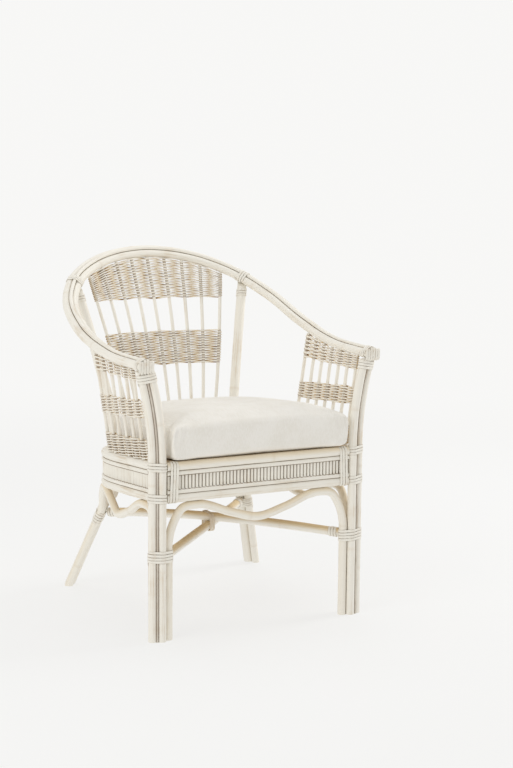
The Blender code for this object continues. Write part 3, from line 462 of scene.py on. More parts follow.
def hoop_frames():
    """The hoop's outward and upper directions along its run."""
    along = headings(HOOP)
    share = 1 - np.abs(np.linspace(-1.0, 1.0, len(HOOP)))
    tilt = HOOP_TILT * np.minimum(1.0, HOOP_TILT_ONSET * share)
    lean = np.stack([np.zeros(len(tilt)), -np.sin(tilt), np.cos(tilt)], axis=1)
    outward = units(np.cross(along, lean))
    return outward, np.cross(outward, along)


HOOP_OUT, HOOP_UP = hoop_frames()


def groove_rise(radius, step, strip):
    return math.sqrt((radius + strip + GAP) ** 2 - step**2)


HOOP_STEP = HOOP_R + GAP / 2
HOOP_STRIP_RISE = groove_rise(HOOP_R, HOOP_STEP, HOOP_STRIP_R)
HOOP_INNER = HOOP - HOOP_OUT * HOOP_STEP
HOOP_CIRCLES = [
    ((-HOOP_STEP, 0.0), HOOP_R),
    ((HOOP_STEP, 0.0), HOOP_R),
    ((0.0, HOOP_STRIP_RISE), HOOP_STRIP_R),
]
LEG_DX = math.sqrt((2 * LEG_R + GAP) ** 2 - LEG_POLE_STEP**2)
ARCH_LEG_DX = math.sqrt((LEG_R + ARCH_R + GAP) ** 2 - LEG_POLE_STEP**2)
SIDE_ARCH_BACK = LEG_R + ARCH_R + 3 * GAP
POST_TOP = ARM_END_HEIGHT - wound(HOOP_R + BEND_EASE)
POST_CIRCLES = [((0.0, 0.0), LEG_R), ((LEG_DX, LEG_POLE_STEP), LEG_R)]
LEG_CIRCLES = [
    *POST_CIRCLES,
    ((-ARCH_LEG_DX, LEG_POLE_STEP), ARCH_R),
    ((0.0, SIDE_ARCH_BACK), ARCH_R),
]


def arm_lean(height):
    """How far the arm post has flared out at a height, and the slope there."""
    rise = ARM_END_HEIGHT - SEAT_TOP
    share = max(0.0, (height - SEAT_TOP) / rise)
    return ARM_FLARE * share**2, 2 * ARM_FLARE * share / rise


def on_arm_post(across, back, height):
    flare, slope = arm_lean(height)
    return np.array((LEG_X + flare + across * math.hypot(1.0, slope), back, height))


def arm_post_path(across, back):
    count = math.ceil((ARM_END_HEIGHT - BELOW_FLOOR) / STEP) + 1
    heights = np.linspace(BELOW_FLOOR, ARM_END_HEIGHT, count)
    return np.array([on_arm_post(across, back, height) for height in heights])


def post_strip_path():
    place = np.array((LEG_DX, LEG_POLE_STEP)) / 2
    place += unit((LEG_POLE_STEP, -LEG_DX)) * groove_rise(LEG_R, LEG_R + GAP / 2, POST_STRIP_R)
    return arm_post_path(*place)


POST_SPOT = where(LEFT_RING, 0, POST_SEAT_HALF)
POST_ALONG = unit(where(LEFT_RING, 0, POST_SEAT_HALF - HEADING_STEP) - POST_SPOT)
POST_SEAT = POST_SPOT + np.array((POST_ALONG[1], -POST_ALONG[0], 0.0)) * (
    RAIL_R + POST_R * POLE_FLAT + 2 * GAP
)
REAR_RUN = unit(REAR_KNEE - REAR_FOOT)
REAR_ARCH_SIDE = unit(REAR_ARCH_BEARING - REAR_RUN * REAR_RUN.dot(REAR_ARCH_BEARING))
REAR_ARCH_STEP = POST_R + ARCH_R + 4 * GAP


def on_rear_leg(height):
    return REAR_FOOT + REAR_RUN * (height / REAR_RUN[2])


def beside_rear_leg(height):
    return on_rear_leg(height) + REAR_ARCH_SIDE * REAR_ARCH_STEP


def rear_leg_path():
    low = raked(POST_SEAT, FRAME_BOTTOM) - (0, 0, POST_R)
    high = raked(POST_SEAT, SEAT_TOP) + (0, 0, POST_R)
    end = HOOP[POST_INDEX]
    belly = (high + end) / 2 - (end - high) * (1, 1, 0) * POST_BELLY
    ease = np.array((0, 0, 2 * POST_R))
    knee = on_rear_leg(REAR_KNEE[2] - 2 * POST_R)
    curve = smooth_path([knee, REAR_KNEE, low - ease, low, high, high + ease, belly, end])
    return spaced(np.vstack([on_rear_leg(BELOW_FLOOR), curve]))


def between(start, end, shares):
    along, up = shares
    point = start + (end - start) * along
    point[2] = start[2] + (end[2] - start[2]) * up
    return point


def arch_half(end, shoulder, hump, middle):
    """Half of a bent arch: up the leg to a shoulder, over a hump and down to the middle dip."""
    return [
        end,
        shoulder + (end - shoulder) * ARCH_STRAIGHT_SHARE,
        shoulder,
        between(shoulder, hump, ARCH_BEND_SHARES),
        between(shoulder, hump, ARCH_CREST_SHARES),
        hump,
        between(hump, middle, ARCH_SLOPE_SHARES),
        middle,
    ]


def front_arch_path():
    side = LEG_X - ARCH_LEG_DX
    left = np.array(
        arch_half(
            np.array((side, LEG_POLE_STEP, BELOW_FLOOR)),
            np.array((side, LEG_POLE_STEP, ARCH_SHOULDER)),
            np.array((side - ARCH_HUMP_INSET, LEG_POLE_STEP, ARCH_LEVEL)),
            np.array((0.0, LEG_POLE_STEP, ARCH_LEVEL - ARCH_DIP)),
        )
    )
    return spaced(smooth_path(np.vstack([left, mirrored(left)[-2::-1]])))


def side_arch_path():
    front_hump = raked(where(LEFT_RING, 1, SIDE_ARCH_BACK + ARCH_HUMP_INSET), ARCH_LEVEL)
    rear_shoulder = beside_rear_leg(REAR_KNEE[2] - ARCH_R)
    rear_hump = raked(where(LEFT_RING, 1, rear_shoulder[1] - ARCH_HUMP_INSET), ARCH_LEVEL)
    middle = raked(where(LEFT_RING, 1, (front_hump[1] + rear_hump[1]) / 2), ARCH_LEVEL - ARCH_DIP)
    front_end = np.array((LEG_X, SIDE_ARCH_BACK, BELOW_FLOOR))
    front_shoulder = np.array((LEG_X, SIDE_ARCH_BACK, ARCH_SHOULDER))
    front = arch_half(front_end, front_shoulder, front_hump, middle)
    rear = arch_half(beside_rear_leg(BELOW_FLOOR), rear_shoulder, rear_hump, middle)
    return spaced(smooth_path([*front, *rear[-2::-1]]))


def front_run(outwards, height):
    place = FRONT_SETBACK - outwards
    return spaced(np.array([(side * FRONT_END, place, height) for side in (-1, 1)]))


def ring_run(distance, height):
    """The seat ring moved outwards and raised to a height of the seat."""
    moved = outset(RING, distance)
    moved[:, 2] = raked(RING, height)[:, 2]
    return moved


FRONT_AIM = np.array((LEG_X, SIDE_ARCH_BACK / 2, 0.0))
REAR_AIM = on_rear_leg(STRETCHER_HEIGHT) * (1, 1, 0)
CROSSING = mirrored(FRONT_AIM) + (REAR_AIM - mirrored(FRONT_AIM)) * LEG_X / (LEG_X + REAR_AIM[0])
LOW_STRETCHER_Z = STRETCHER_HEIGHT - STRETCHER_STAGGER / 2
HIGH_STRETCHER_Z = STRETCHER_HEIGHT + STRETCHER_STAGGER / 2


def stretcher_path(node, height, middle):
    """From the right front leg to the left rear leg, as long as its node and bowed at the crossing."""
    low, high = (np.array(corner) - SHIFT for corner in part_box(node))
    aim = REAR_AIM - mirrored(FRONT_AIM)
    run = unit(aim)
    reach = (high[1] - low[1] - 2 * STRETCHER_R * run[0]) / run[1] / 2
    centre = (low + high) / 2 * (1, 1, 0)
    if node.startswith("high"):
        centre = mirrored(centre)
    front = centre - run * reach
    along = np.linspace(0.0, 1.0, math.ceil(2 * reach / STEP) + 1)
    share = np.linalg.norm(CROSSING - front) / (2 * reach)
    bow = np.where(along < share, along / share, (1 - along) / (1 - share))
    path = front + run * (2 * reach) * along[:, None]
    path[:, 2] = height + (middle - height) * (1 - (1 - bow) ** 2)
    return path


LOW_STRETCHER = stretcher_path("low_stretcher", LOW_STRETCHER_Z, LOW_STRETCHER_Z)
HIGH_STRETCHER = mirrored(
    stretcher_path("high_stretcher", HIGH_STRETCHER_Z, LOW_STRETCHER_Z + 2 * STRETCHER_R + 2 * GAP)
)


def spot_on(path, axis, value):
    """A point of a path where a coordinate has a value, and the path's heading there."""
    spot = where(path, axis, value)
    return spot, unit(spot - where(path, axis, value - HEADING_STEP))


RING_RAIL = ring_run(0.0, TOP_RAIL_Z)
HALF_RAIL = RING_RAIL[: len(RING_RAIL) // 2 + PAST_MIDDLE]
HALF_HOOP = HOOP_INNER[: len(HOOP) // 2 + PAST_MIDDLE]


def stake_path(foot, head, bow):
    """A stake that stands on a rail and ends under the hoop, bowed forwards in the middle."""
    (low, low_along), (high, high_along) = foot, head
    rise = unit(high - low)

    def clear(radius, along):
        cosine = abs(rise.dot(along))
        return (radius + 2 * GAP + STAKE_R * cosine) / math.sqrt(1 - cosine**2)

    start = low + rise * clear(RAIL_R, low_along)
    end = high - rise * clear(HOOP_R, high_along)
    share = np.linspace(0.0, 1.0, STAKE_POINTS)[:, None]
    return start + (end - start) * share - np.array((0, bow, 0)) * np.sin(math.pi * share)


def back_stake(share):
    """A back stake, from 0 at the right edge of the panel to 1 at its left edge."""
    side = 2 * share - 1
    foot = spot_on(HALF_RAIL, 0, abs(side) * (POST_SEAT_HALF - BACK_POST_GAP_LOW))
    head = spot_on(HALF_HOOP, 0, abs(side) * (POST_TOP_HALF - BACK_POST_GAP_HIGH))
    path = stake_path(foot, head, BACK_STAKE_BOW)
    return path if side > 0 else mirrored(path)


def side_stake(share):
    """A stake of the left panel, from 0 beside the arm post to 1 at its open rear edge."""
    place = SIDE_PANEL_FRONT + (SIDE_PANEL_BACK - SIDE_PANEL_FRONT) * share
    return stake_path(spot_on(HALF_RAIL, 1, place), spot_on(HALF_HOOP, 1, place), 0.0)


def back_height(share):
    return SEAT_TOP + (ARM_END_HEIGHT + BACK_TOP_RISE - SEAT_TOP) * share


def side_height(share):
    return SEAT_TOP + (ARM_END_HEIGHT - SEAT_TOP) * share


def seat_band(path):
    return path[0][2] + WEAVE_EDGE, path[0][2] + SEAT_BAND_HEIGHT


def back_low_band(path):
    return back_height(BACK_LOW_BAND[0]), back_height(BACK_LOW_BAND[1])


def back_top_band(path):
    return back_height(BACK_TOP_BAND), path[-1][2] - WEAVE_EDGE


def side_low_band(path):
    return tuple(raked(path[0], side_height(share))[2] for share in SIDE_LOW_BAND)


def side_top_band(path):
    return side_height(SIDE_TOP_BAND), path[-1][2] - WEAVE_EDGE


# Surfaces: grids of points with their UVs, painted shade, knots and tone, which become quad sheets

def surface(grid, uv, stain=0.0, knot=0.0, tone=1.0):
    shape = grid.shape[:2]
    sheet = {"grid": grid, "uv": uv}
    for key, value in (("stain", stain), ("knot", knot), ("tone", tone)):
        sheet[key] = np.broadcast_to(value, shape)
    return sheet


def uv_grid(along, around):
    return np.stack(np.broadcast_arrays(along, around), axis=2)


def flipped(sheet):
    """The same sheet on the right of the chair."""
    return {**sheet, "grid": mirrored(sheet["grid"])}


def carried_frames(path, start):
    """Directions square to a path that turn with it as little as they can."""
    along = headings(path)
    side = np.zeros_like(path)
    now = np.asarray(start, float)
    for i, ahead in enumerate(along):
        now = unit(now - ahead * now.dot(ahead))
        side[i] = now
    return side, np.cross(along, side)


def rod(path, radius, sides, seed, knots=True, soft_ends=0.0):
    """A rattan rod along a path, with the swollen rings at which its leaves grew."""
    sizes = bpy.context.scene.rattan_sizes
    draw = np.random.default_rng(seed)
    along = travel(path)
    swell = np.zeros(len(path))
    ring = np.zeros(len(path))
    spot = draw.uniform(*FIRST_KNOT) * sizes.knot_spacing
    while knots and spot < along[-1]:
        away = along - spot
        swell += sizes.knot_swell * bell(away, KNOT_WIDTH)
        swell -= KNOT_HOLLOW * sizes.knot_swell * bell(away - KNOT_HOLLOW_PLACE, KNOT_HOLLOW_WIDTH)
        ring += bell(away, KNOT_LINE)
        spot += sizes.knot_spacing * draw.uniform(*NEXT_KNOT)
    waver = LONG_WAVER[0] * np.sin(along * LONG_WAVER[1] + draw.uniform(*ANY_PHASE))
    waver += SHORT_WAVER[0] * np.sin(along * SHORT_WAVER[1])
    radii = radius * (1 + swell + (waver if knots else 0.0))
    if soft_ends:
        rest = np.minimum(along, along[-1] - along)
        drop = np.clip(1 - rest / soft_ends, 0.0, 1.0)
        radii = radii - soft_ends * (1 - np.sqrt(1 - np.minimum(drop, SOFT_END_LIMIT) ** 2))
    start = (0.0, 0.0, -1.0) if abs(headings(path)[0][2]) < STEEP else (0.0, 1.0, 0.0)
    side, up = carried_frames(path, start)
    angle = np.linspace(0.0, 2 * math.pi, sides + 1)
    around = side[:, None] * np.cos(angle)[:, None] + up[:, None] * np.sin(angle)[:, None]
    grid = path[:, None] + around * radii[:, None, None]
    grain = along[:, None] + GRAIN_OFFSET * (seed % GRAIN_KINDS)
    uv = uv_grid(grain, angle * radius)
    return surface(grid, uv, knot=ring[:, None])


def with_soft_ends(path, soft):
    """The path with extra points close to its ends, so that these can be rounded."""
    along = travel(path)
    near = soft * SOFT_END_SHARES
    inner = along[(along > soft) & (along < along[-1] - soft)]
    return at_travel(path, np.concatenate([near, inner, along[-1] - near[::-1]]))


def taut_outline(circles, room, count):
    """The taut outline round circles in a plane: points at equal steps and their outward directions."""
    angle = np.linspace(0.0, 2 * math.pi, OUTLINE_POINTS)
    away = np.stack([np.cos(angle), np.sin(angle)], axis=1)
    centres = np.array([centre for centre, _ in circles], float)
    radii = np.array([radius for _, radius in circles], float)
    best = (away @ centres.T + radii).argmax(axis=1)
    points = evenly(centres[best] + away * (radii[best] + room)[:, None], count + 1)[:-1]
    ahead = np.roll(points, -1, axis=0) - np.roll(points, 1, axis=0)
    outward = np.stack([ahead[:, 1], -ahead[:, 0]], axis=1)
    return points, units(outward)


CANE_PROFILE = np.array(
    (
        (-0.94, 0.0),
        (-1.0, 0.45),
        (-0.88, 0.86),
        (-0.5, 1.0),
        (0.0, 1.05),
        (0.5, 1.0),
        (0.88, 0.86),
        (1.0, 0.45),
        (0.94, 0.0),
        (-0.94, 0.0),
    )
)


def from_ends(count, tuck):
    """Each point's steps from the nearer end of a strip, in lengths of the part that tucks under."""
    index = np.arange(count)
    return np.minimum(index, index[-1] - index) / tuck


def cane_strip(path, aside, out, rest, seed):
    """A flat cane strip on a path, thin enough to tuck under others where rest is below 1."""
    tuck = np.clip(rest, 0.0, 1.0)[:, None] ** 0.5
    across, above = CANE_PROFILE.T
    wide = across * CANE_WIDTH / 2 * (TUCKED_WIDTH + (1 - TUCKED_WIDTH) * tuck)
    high = above * CANE_THICKNESS * (TUCKED_THICKNESS + (1 - TUCKED_THICKNESS) * tuck)
    grid = path[:, None] + aside * wide[:, :, None] + out[:, None] * high[:, :, None]
    grain = travel(path)[:, None] + seed
    uv = uv_grid(grain, wide + CANE_WIDTH / 2)
    # Painted shade along the strip's edges
    edge = np.clip((np.abs(across) - CANE_EDGE) / CANE_EDGE_SPAN, 0.0, 1.0) * CANE_EDGE_SHADE
    return surface(grid, uv, stain=edge)


def cane_winding(centre, axis, across, circles, turns, ease, seed):
    """A flat cane strip wound round the poles that cross a plane at these circles."""
    axis = unit(axis)
    across = unit(across - axis * axis.dot(across))
    upward = np.cross(axis, across)
    outline, outward = taut_outline(circles, GAP + ease, TURN_POINTS)
    index = np.arange(turns * TURN_POINTS + 1)
    flat, away = outline[index % TURN_POINTS], outward[index % TURN_POINTS]
    draw = np.random.default_rng(seed)
    sway = index * 2 * math.pi / TURN_POINTS * WINDING_SWAY + draw.uniform(*ANY_PHASE)
    lift = CANE_PITCH * (index / TURN_POINTS - turns / 2) + WINDING_DRIFT * np.sin(sway)
    place = centre + across * flat[:, :1] + upward * flat[:, 1:] + axis * lift[:, None]
    out = across * away[:, :1] + upward * away[:, 1:]
    return cane_strip(place, axis, out, from_ends(len(index), TUCK_POINTS), seed)


def arm_end_strips():
    """Flat strips side by side, from the loops over the left arm's end to the binding of its post."""
    outline, outward = taut_outline(POST_CIRCLES, GAP / 2, 2 * TURN_POINTS)
    front = outline[outward[:, 1] < 0]
    front = front[front[:, 0].argsort()]
    ahead, aside, up = -headings(HOOP)[0], HOOP_OUT[0], HOOP_UP[0]
    sheets = []
    for number in range(ARM_END_STRIPS):
        offset = (number - (ARM_END_STRIPS - 1) / 2) * ARM_STRIP_PITCH
        high = max(
            rise + math.sqrt(max(0.0, radius**2 - (offset - across) ** 2))
            for (across, rise), radius in HOOP_CIRCLES
        )
        over = [(reach, high + rise) for reach, rise in ARM_STRIP_OVER]
        stations = [
            HOOP[0] + aside * offset + ahead * reach + up * rise
            for reach, rise in (*over, *ARM_STRIP_DOWN)
        ]
        foot = offset + LEG_R
        back = np.interp(foot, *front.T)
        stations.append(on_arm_post(foot, back, ARM_END_HEIGHT - ARM_STRIP_DROP))
        path = evenly(smooth_path(stations), ARM_STRIP_POINTS)
        out = units(np.cross(headings(path), aside))
        rest = from_ends(ARM_STRIP_POINTS, ARM_STRIP_TUCK)
        sheets.append(cane_strip(path, aside, out, rest, 60 + number))
    return sheets


def reed_row(path, count, seed):
    """Upright reeds side by side along a plan path, with painted shade on their flanks and a thin dark wall
    of painted shade behind them.
    """
    draw = np.random.default_rng(seed)
    spots = evenly(path, 2 * count + 1)[1::2]
    pitch = travel(path)[-1] / count
    angle = np.linspace(0.0, 2 * math.pi, REED_SIDES + 1)
    deep = REED_CREST / 2
    flank = np.clip((np.abs(np.cos(angle)) - REED_FLANK) / REED_FLANK_SPAN, 0.0, 1.0)
    rows, taper = np.array(REED_ENDS).T
    sheets = []
    for spot, ahead, out in zip(spots, headings(spots), asides(spots)):
        fat = draw.uniform(*REED_FATNESS)
        lift = draw.uniform(*REED_LIFT)
        broad = ahead * np.cos(angle)[:, None] * pitch * REED_FULLNESS * fat
        section = broad + out * np.sin(angle)[:, None] * deep
        middle = spot + out * (deep + lift)
        grid = middle * (1, 1, 0) + section[None] * taper[:, None, None]
        grid[:, :, 2] = raked(spot, REED_BOTTOM)[2] + rows[:, None] * REED_HEIGHT
        grain = rows[:, None] * REED_HEIGHT + draw.uniform(*REED_GRAIN)
        uv = uv_grid(grain, angle * deep)
        # Painted shade on the reed's flanks
        stain = REED_FLANK_SHADE * flank
        sheets.append(surface(grid, uv, stain=stain, tone=draw.uniform(*REED_TONE)))
    return [*sheets, reed_shade_wall(path)]


def reed_shade_wall(path):
    """A thin dark wall behind a row of reeds, painted shade for the gaps between them."""
    corners = ((0, 0), (1, 0), (1, 1), (0, 1), (0, 0))
    low = raked(path, REED_BOTTOM)[:, 2]
    grid = np.stack([outset(path, SHADE_WALL_THICKNESS * out) for out, _ in corners], axis=1)
    grid[:, :, 2] = low[:, None] + REED_HEIGHT * np.array([up for _, up in corners])
    grain = np.linspace(0.0, REED_HEIGHT, len(corners))
    uv = uv_grid(travel(path)[:, None], grain)
    return surface(grid, uv, stain=SHADE_WALL_DARKNESS)


def woven_rows(stake_at, shares, spans, band, draw):
    """Points of a band's rows, at these shares of the way across its panel."""
    paths = [stake_at(share) for share in shares]
    low, high = np.array([band(path) for path in paths]).T
    pitch = bpy.context.scene.rattan_sizes.strand_pitch
    rows = max(LEAST_ROWS, round(float(np.median(high - low)) / pitch))
    level = (np.arange(rows)[:, None] + 0.5) / rows
    phase = draw.uniform(*ANY_PHASE, (rows, 1))
    level = level + ROW_WANDER / rows * np.sin(shares * ROW_WANDER_RATE * spans + phase)
    heights = low + (high - low) * level
    sheet = np.empty((rows, len(shares), 3))
    for column, path in enumerate(paths):
        for axis in (0, 1):
            sheet[:, column, axis] = np.interp(heights[:, column], path[:, 2], path[:, axis])
    sheet[:, :, 2] = heights
    return sheet


def woven_strand(sheet, shares, swing, draw):
    """The strand's points, upward directions, row heights, sway and panel's facing along its whole run."""
    along = units(np.gradient(sheet, axis=1))
    up = np.gradient(sheet, axis=0)
    tall = np.linalg.norm(up, axis=2)
    up /= tall[:, :, None]
    normal = units(np.cross(along, up))
    last = len(sheet) - 1
    turns = len(EDGE_TURN)
    parts = []
    for row in range(last + 1):
        sign = 1 if row % 2 else -1
        phase = draw.uniform(*ANY_PHASE)
        jitter = 1 + STRAND_JITTER * np.sin(shares * STRAND_JITTER_RATE + phase)
        place = sheet[row] + normal[row] * (sign * swing * jitter)[:, None]
        straight = (place, up[row], tall[row], sign * swing / abs(swing[0]), normal[row])
        parts.append([part[::sign] for part in straight])
        if row == last:
            break
        end = -1 if row % 2 else 0
        sway = sign * swing[end]
        rise = sheet[row + 1, end] - sheet[row, end]
        arc = sheet[row, end] + rise * (EDGE_TURN / math.pi)[:, None]
        arc = arc + along[row, end] * sign * (abs(sway) * np.sin(EDGE_TURN))[:, None]
        arc = arc + normal[row, end] * (sway * np.cos(EDGE_TURN))[:, None]
        upward = np.repeat(up[row, end][None], turns, axis=0)
        facing = np.repeat(normal[row, end][None], turns, axis=0)
        sways = np.cos(EDGE_TURN) * np.sign(sway)
        parts.append((arc, upward, np.full(turns, tall[row, end]), sways, facing))
    return [np.concatenate(part) for part in zip(*parts)]


def woven_band(stake_at, stakes, band, whiteness, seed):
    """One strand that runs to and fro across a panel, over and under its stakes."""
    sizes = bpy.context.scene.rattan_sizes
    draw = np.random.default_rng(seed)
    spans = stakes - 1
    shares = np.linspace(0.0, 1.0, spans * sizes.strand_steps + 1)
    sheet = woven_rows(stake_at, shares, spans, band, draw)
    wide = sizes.strand_thickness / 2
    swing = (WEAVE_SWING + wide) * np.cos(math.pi * spans * shares)
    path, up, tall, sway, face = woven_strand(sheet, shares, swing, draw)
    ahead = headings(path)
    side = units(np.cross(ahead, up))
    up = np.cross(side, ahead)
    angle = np.linspace(0.0, 2 * math.pi, STRAND_SIDES + 1)
    grid = path[:, None] + side[:, None] * (wide * np.cos(angle))[:, None]
    grid = grid + up[:, None] * (STRAND_HALF_HEIGHT * tall[:, None] * np.sin(angle))[:, :, None]
    front = np.einsum("ij,ij->i", side, face)[:, None] * np.cos(angle)
    over = front * sway[:, None]
    # Painted light: lighter where a strand faces out of the panel and where it passes over a stake, darker on
    # its flanks and where it dives under
    tone = TONE_FLANK + TONE_FACE * np.abs(front) ** TONE_ROUNDNESS
    tone = tone + TONE_OVER * np.clip(over, 0.0, 1.0)
    tone = tone - TONE_UNDER * np.clip(-over / DIVE_SPAN, 0.0, 1.0)
    run = travel(path)[:, None]
    fast, slow = TONE_PATCH_RATES
    patch = TONE_PATCH * np.sin(run * fast + seed) * np.sin(run * slow)
    uv = uv_grid(run, angle * wide)
    return surface(grid, uv, tone=np.clip(tone * whiteness + patch, 0.0, 1.0))


def add_layer(mesh, key, values):
    layer = mesh.attributes.new(key, "FLOAT", "POINT")
    layer.data.foreach_set("value", values.astype(np.float32))


def mesh_from(name, sheets, cuts=()):
    """A mesh of closed bodies from sheets of quads, trimmed by planes that keep their facing side."""
    bm = bmesh.new()
    bm.loops.layers.uv.new("UVMap")
    for sheet in sheets:
        rows, columns = sheet["grid"].shape[:2]
        bmesh.ops.create_grid(bm, x_segments=columns - 1, y_segments=rows - 1, size=1.0)
    mesh = bpy.data.meshes.new(name)
    bm.to_mesh(mesh)
    bm.free()
    points = np.concatenate([sheet["grid"].reshape(-1, 3) for sheet in sheets]) + SHIFT
    mesh.vertices.foreach_set("co", points.astype(np.float32).ravel())
    corners = np.empty(len(mesh.loops), np.int32)
    mesh.loops.foreach_get("vertex_index", corners)
    uvs = np.concatenate([sheet["uv"].reshape(-1, 2) for sheet in sheets])
    mesh.uv_layers["UVMap"].data.foreach_set("uv", uvs[corners].astype(np.float32).ravel())
    for key in ("stain", "knot", "tone"):
        add_layer(mesh, key, np.concatenate([sheet[key].reshape(-1) for sheet in sheets]))
    bm = bmesh.new()
    bm.from_mesh(mesh)
    bmesh.ops.remove_doubles(bm, verts=bm.verts, dist=WELD)
    for place, facing in cuts:
        geometry = [*bm.verts, *bm.edges, *bm.faces]
        bmesh.ops.bisect_plane(
            bm, geom=geometry, plane_co=np.array(place) + SHIFT, plane_no=facing, clear_inner=True
        )
    rims = [edge for edge in bm.edges if edge.is_boundary]
    bmesh.ops.holes_fill(bm, edges=rims, sides=0)
    bmesh.ops.recalc_face_normals(bm, faces=bm.faces)
    bm.to_mesh(mesh)
    bm.free()
    mesh.shade_smooth()
    mesh.set_sharp_from_angle(angle=SHARP_ANGLE)
    return mesh


def place_piece(name, mesh, finish, body, nodes, whitewashed=False):
    """Links a finished piece, hides the CAD nodes it stands for and hangs it on the body it rides on."""
    mesh.materials.append(bpy.data.materials[finish])
    piece = bpy.data.objects.new(name, mesh)
    bpy.context.scene.collection.objects.link(piece)
    if whitewashed:
        group = bpy.data.collections.get(WHITEWASHED) or bpy.data.collections.new(WHITEWASHED)
        group.objects.link(piece)
    if nodes:
        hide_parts(*nodes)
    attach(piece, body)
    return piece


def add_pole(node, sheets, finish="whitewashed rattan", cuts=()):
    mesh = mesh_from(node + "_rattan", sheets, cuts)
    place_piece(node + "_rattan", mesh, finish, "frame", [node], whitewashed=True)


def add_pole_pair(node, sheets, finish="whitewashed rattan", cuts=()):
    add_pole("left_" + node, sheets, finish, cuts)
    other = [((-place[0], *place[1:]), (-facing[0], *facing[1:])) for place, facing in cuts]
    add_pole("right_" + node, [flipped(sheet) for sheet in sheets], finish, other)


def add_arm_end_strips():
    sheets = arm_end_strips()
    for side, dressed in (("left", sheets), ("right", [flipped(sheet) for sheet in sheets])):
        name = side + "_arm_end_strips"
        place_piece(name, mesh_from(name, dressed), "flat cane", "frame", [], whitewashed=True)


def add_binding(node, sheet, finish="flat cane"):
    mesh = mesh_from(node + "_cane", [sheet])
    place_piece(node + "_cane", mesh, finish, "frame", [node], whitewashed=True)


def add_binding_pair(node, *winding):
    sheet = cane_winding(*winding)
    add_binding("left_" + node, sheet)
    add_binding("right_" + node, flipped(sheet))


# Finishes

class Recipe:
    """The node tree of one finish."""

    def __init__(self, name):
        self.material = bpy.data.materials.new(name)
        self.material.use_nodes = True
        self.tree = self.material.node_tree
        self.shader = self.tree.nodes["Principled BSDF"]

    def fill(self, socket, value):
        if isinstance(value, bpy.types.NodeSocket):
            self.tree.links.new(value, socket)
        else:
            socket.default_value = value

    def add(self, kind, sockets=None, **settings):
        item = self.tree.nodes.new("ShaderNode" + kind)
        for key, value in settings.items():
            setattr(item, key, value)
        for key, value in (sockets or {}).items():
            self.fill(item.inputs[key], value)
        return item

    def coordinates(self, kind, scale):
        place = self.add("TexCoord").outputs[kind]
        return self.add("Mapping", {"Vector": place, "Scale": scale}).outputs["Vector"]

    def noise(self, vector, scale=1.0, detail=3.0, roughness=0.55):
        sockets = {"Vector": vector, "Scale": scale, "Detail": detail, "Roughness": roughness}
        return self.add("TexNoise", sockets).outputs["Fac"]

    def layer(self, name):
        return self.add("Attribute", attribute_name=name).outputs["Fac"]

    def spread(self, value, low, high, to_low=0.0, to_high=1.0):
        names = ("Value", "From Min", "From Max", "To Min", "To Max")
        sockets = dict(zip(names, (value, low, high, to_low, to_high)))
        return self.add("MapRange", sockets, interpolation_type="SMOOTHSTEP").outputs["Result"]

    def math(self, operation, first, second):
        return self.add("Math", {0: first, 1: second}, operation=operation).outputs[0]

    def products(self, first, second, third, fourth):
        """The sum of two products."""
        left, right = self.math("MULTIPLY", first, second), self.math("MULTIPLY", third, fourth)
        return self.math("ADD", left, right)

    def mix(self, factor, first, second):
        return self.add("Mix", {0: factor, 6: first, 7: second}, data_type="RGBA").outputs[2]

    def ramp(self, factor, stops):
        item = self.add("ValToRGB", {"Fac": factor})
        for place, _ in stops[2:]:
            item.color_ramp.elements.new(place)
        for element, (place, colour) in zip(item.color_ramp.elements, stops):
            element.position = place
            element.color = (*colour, 1.0)
        return item.outputs["Color"]

    def finish(self, colour, roughness, height, strength, distance, specular=0.5):
        bump = self.add("Bump", {"Height": height, "Strength": strength, "Distance": distance})
        self.fill(self.shader.inputs["Base Color"], colour)
        self.fill(self.shader.inputs["Roughness"], roughness)
        self.fill(self.shader.inputs["Normal"], bump.outputs["Normal"])
        self.shader.inputs["Specular IOR Level"].default_value = specular


def rgba(colour):
    return (*colour, 1.0)


def rattan_finish(name, bareness, top_shade):
    """Whitewash over rattan: fibres, bare patches, painted warm shade on upward faces that the seat shelters,
    rings, and painted shade where pieces lie close.
    """
    tints = bpy.context.scene.rattan_colours
    r = Recipe(name)
    fibres = r.noise(r.coordinates("UV", (16.0, 1100.0, 1.0)), detail=4.0, roughness=0.6)
    streaks = r.noise(r.coordinates("UV", (7.0, 220.0, 1.0)), detail=3.0)
    patches = r.noise(r.coordinates("Object", (1.0, 1.0, 1.0)), scale=11.0, detail=4.0, roughness=0.6)
    worn = r.products(streaks, 0.5, patches, 0.5)
    bare = r.spread(worn, 0.50, 0.68, 0.0, bareness)
    # Painted warm shade: faces that look up turn towards the warm shade colour, by the finish's share
    upright = r.add("SeparateXYZ", {"Vector": r.add("NewGeometry").outputs["Normal"]}).outputs["Z"]
    above = r.spread(upright, -0.25, 0.75, 0.0, top_shade)
    rubbed = r.math("MAXIMUM", bare, r.math("MULTIPLY", r.layer("knot"), 0.2))
    colour = r.mix(above, rgba(tints.whitewash), rgba(tints.painted_warm_shade))
    colour = r.mix(rubbed, colour, rgba(tints.bare_cane_and_seam_shade))
    lines = r.spread(fibres, 0.58, 0.76, 0.0, 0.42)
    colour = r.mix(lines, colour, rgba(tints.bare_cane_and_seam_shade))
    # Painted shade where pieces lie close and along strips, made patchy, mixed towards the groove colour
    patchy_shade = r.math("MULTIPLY", r.layer("stain"), r.spread(patches, 0.2, 0.6, 0.85, 1.2))
    shade_amount = r.spread(patchy_shade, 0.3, 0.9, 0.0, 0.95)
    colour = r.mix(shade_amount, colour, rgba(tints.groove))
    roughness = r.spread(worn, 0.3, 0.7, 0.42, 0.62)
    height = r.products(fibres, 0.5, streaks, 0.5)
    r.finish(colour, roughness, height, 0.35, 0.0006, specular=0.4)


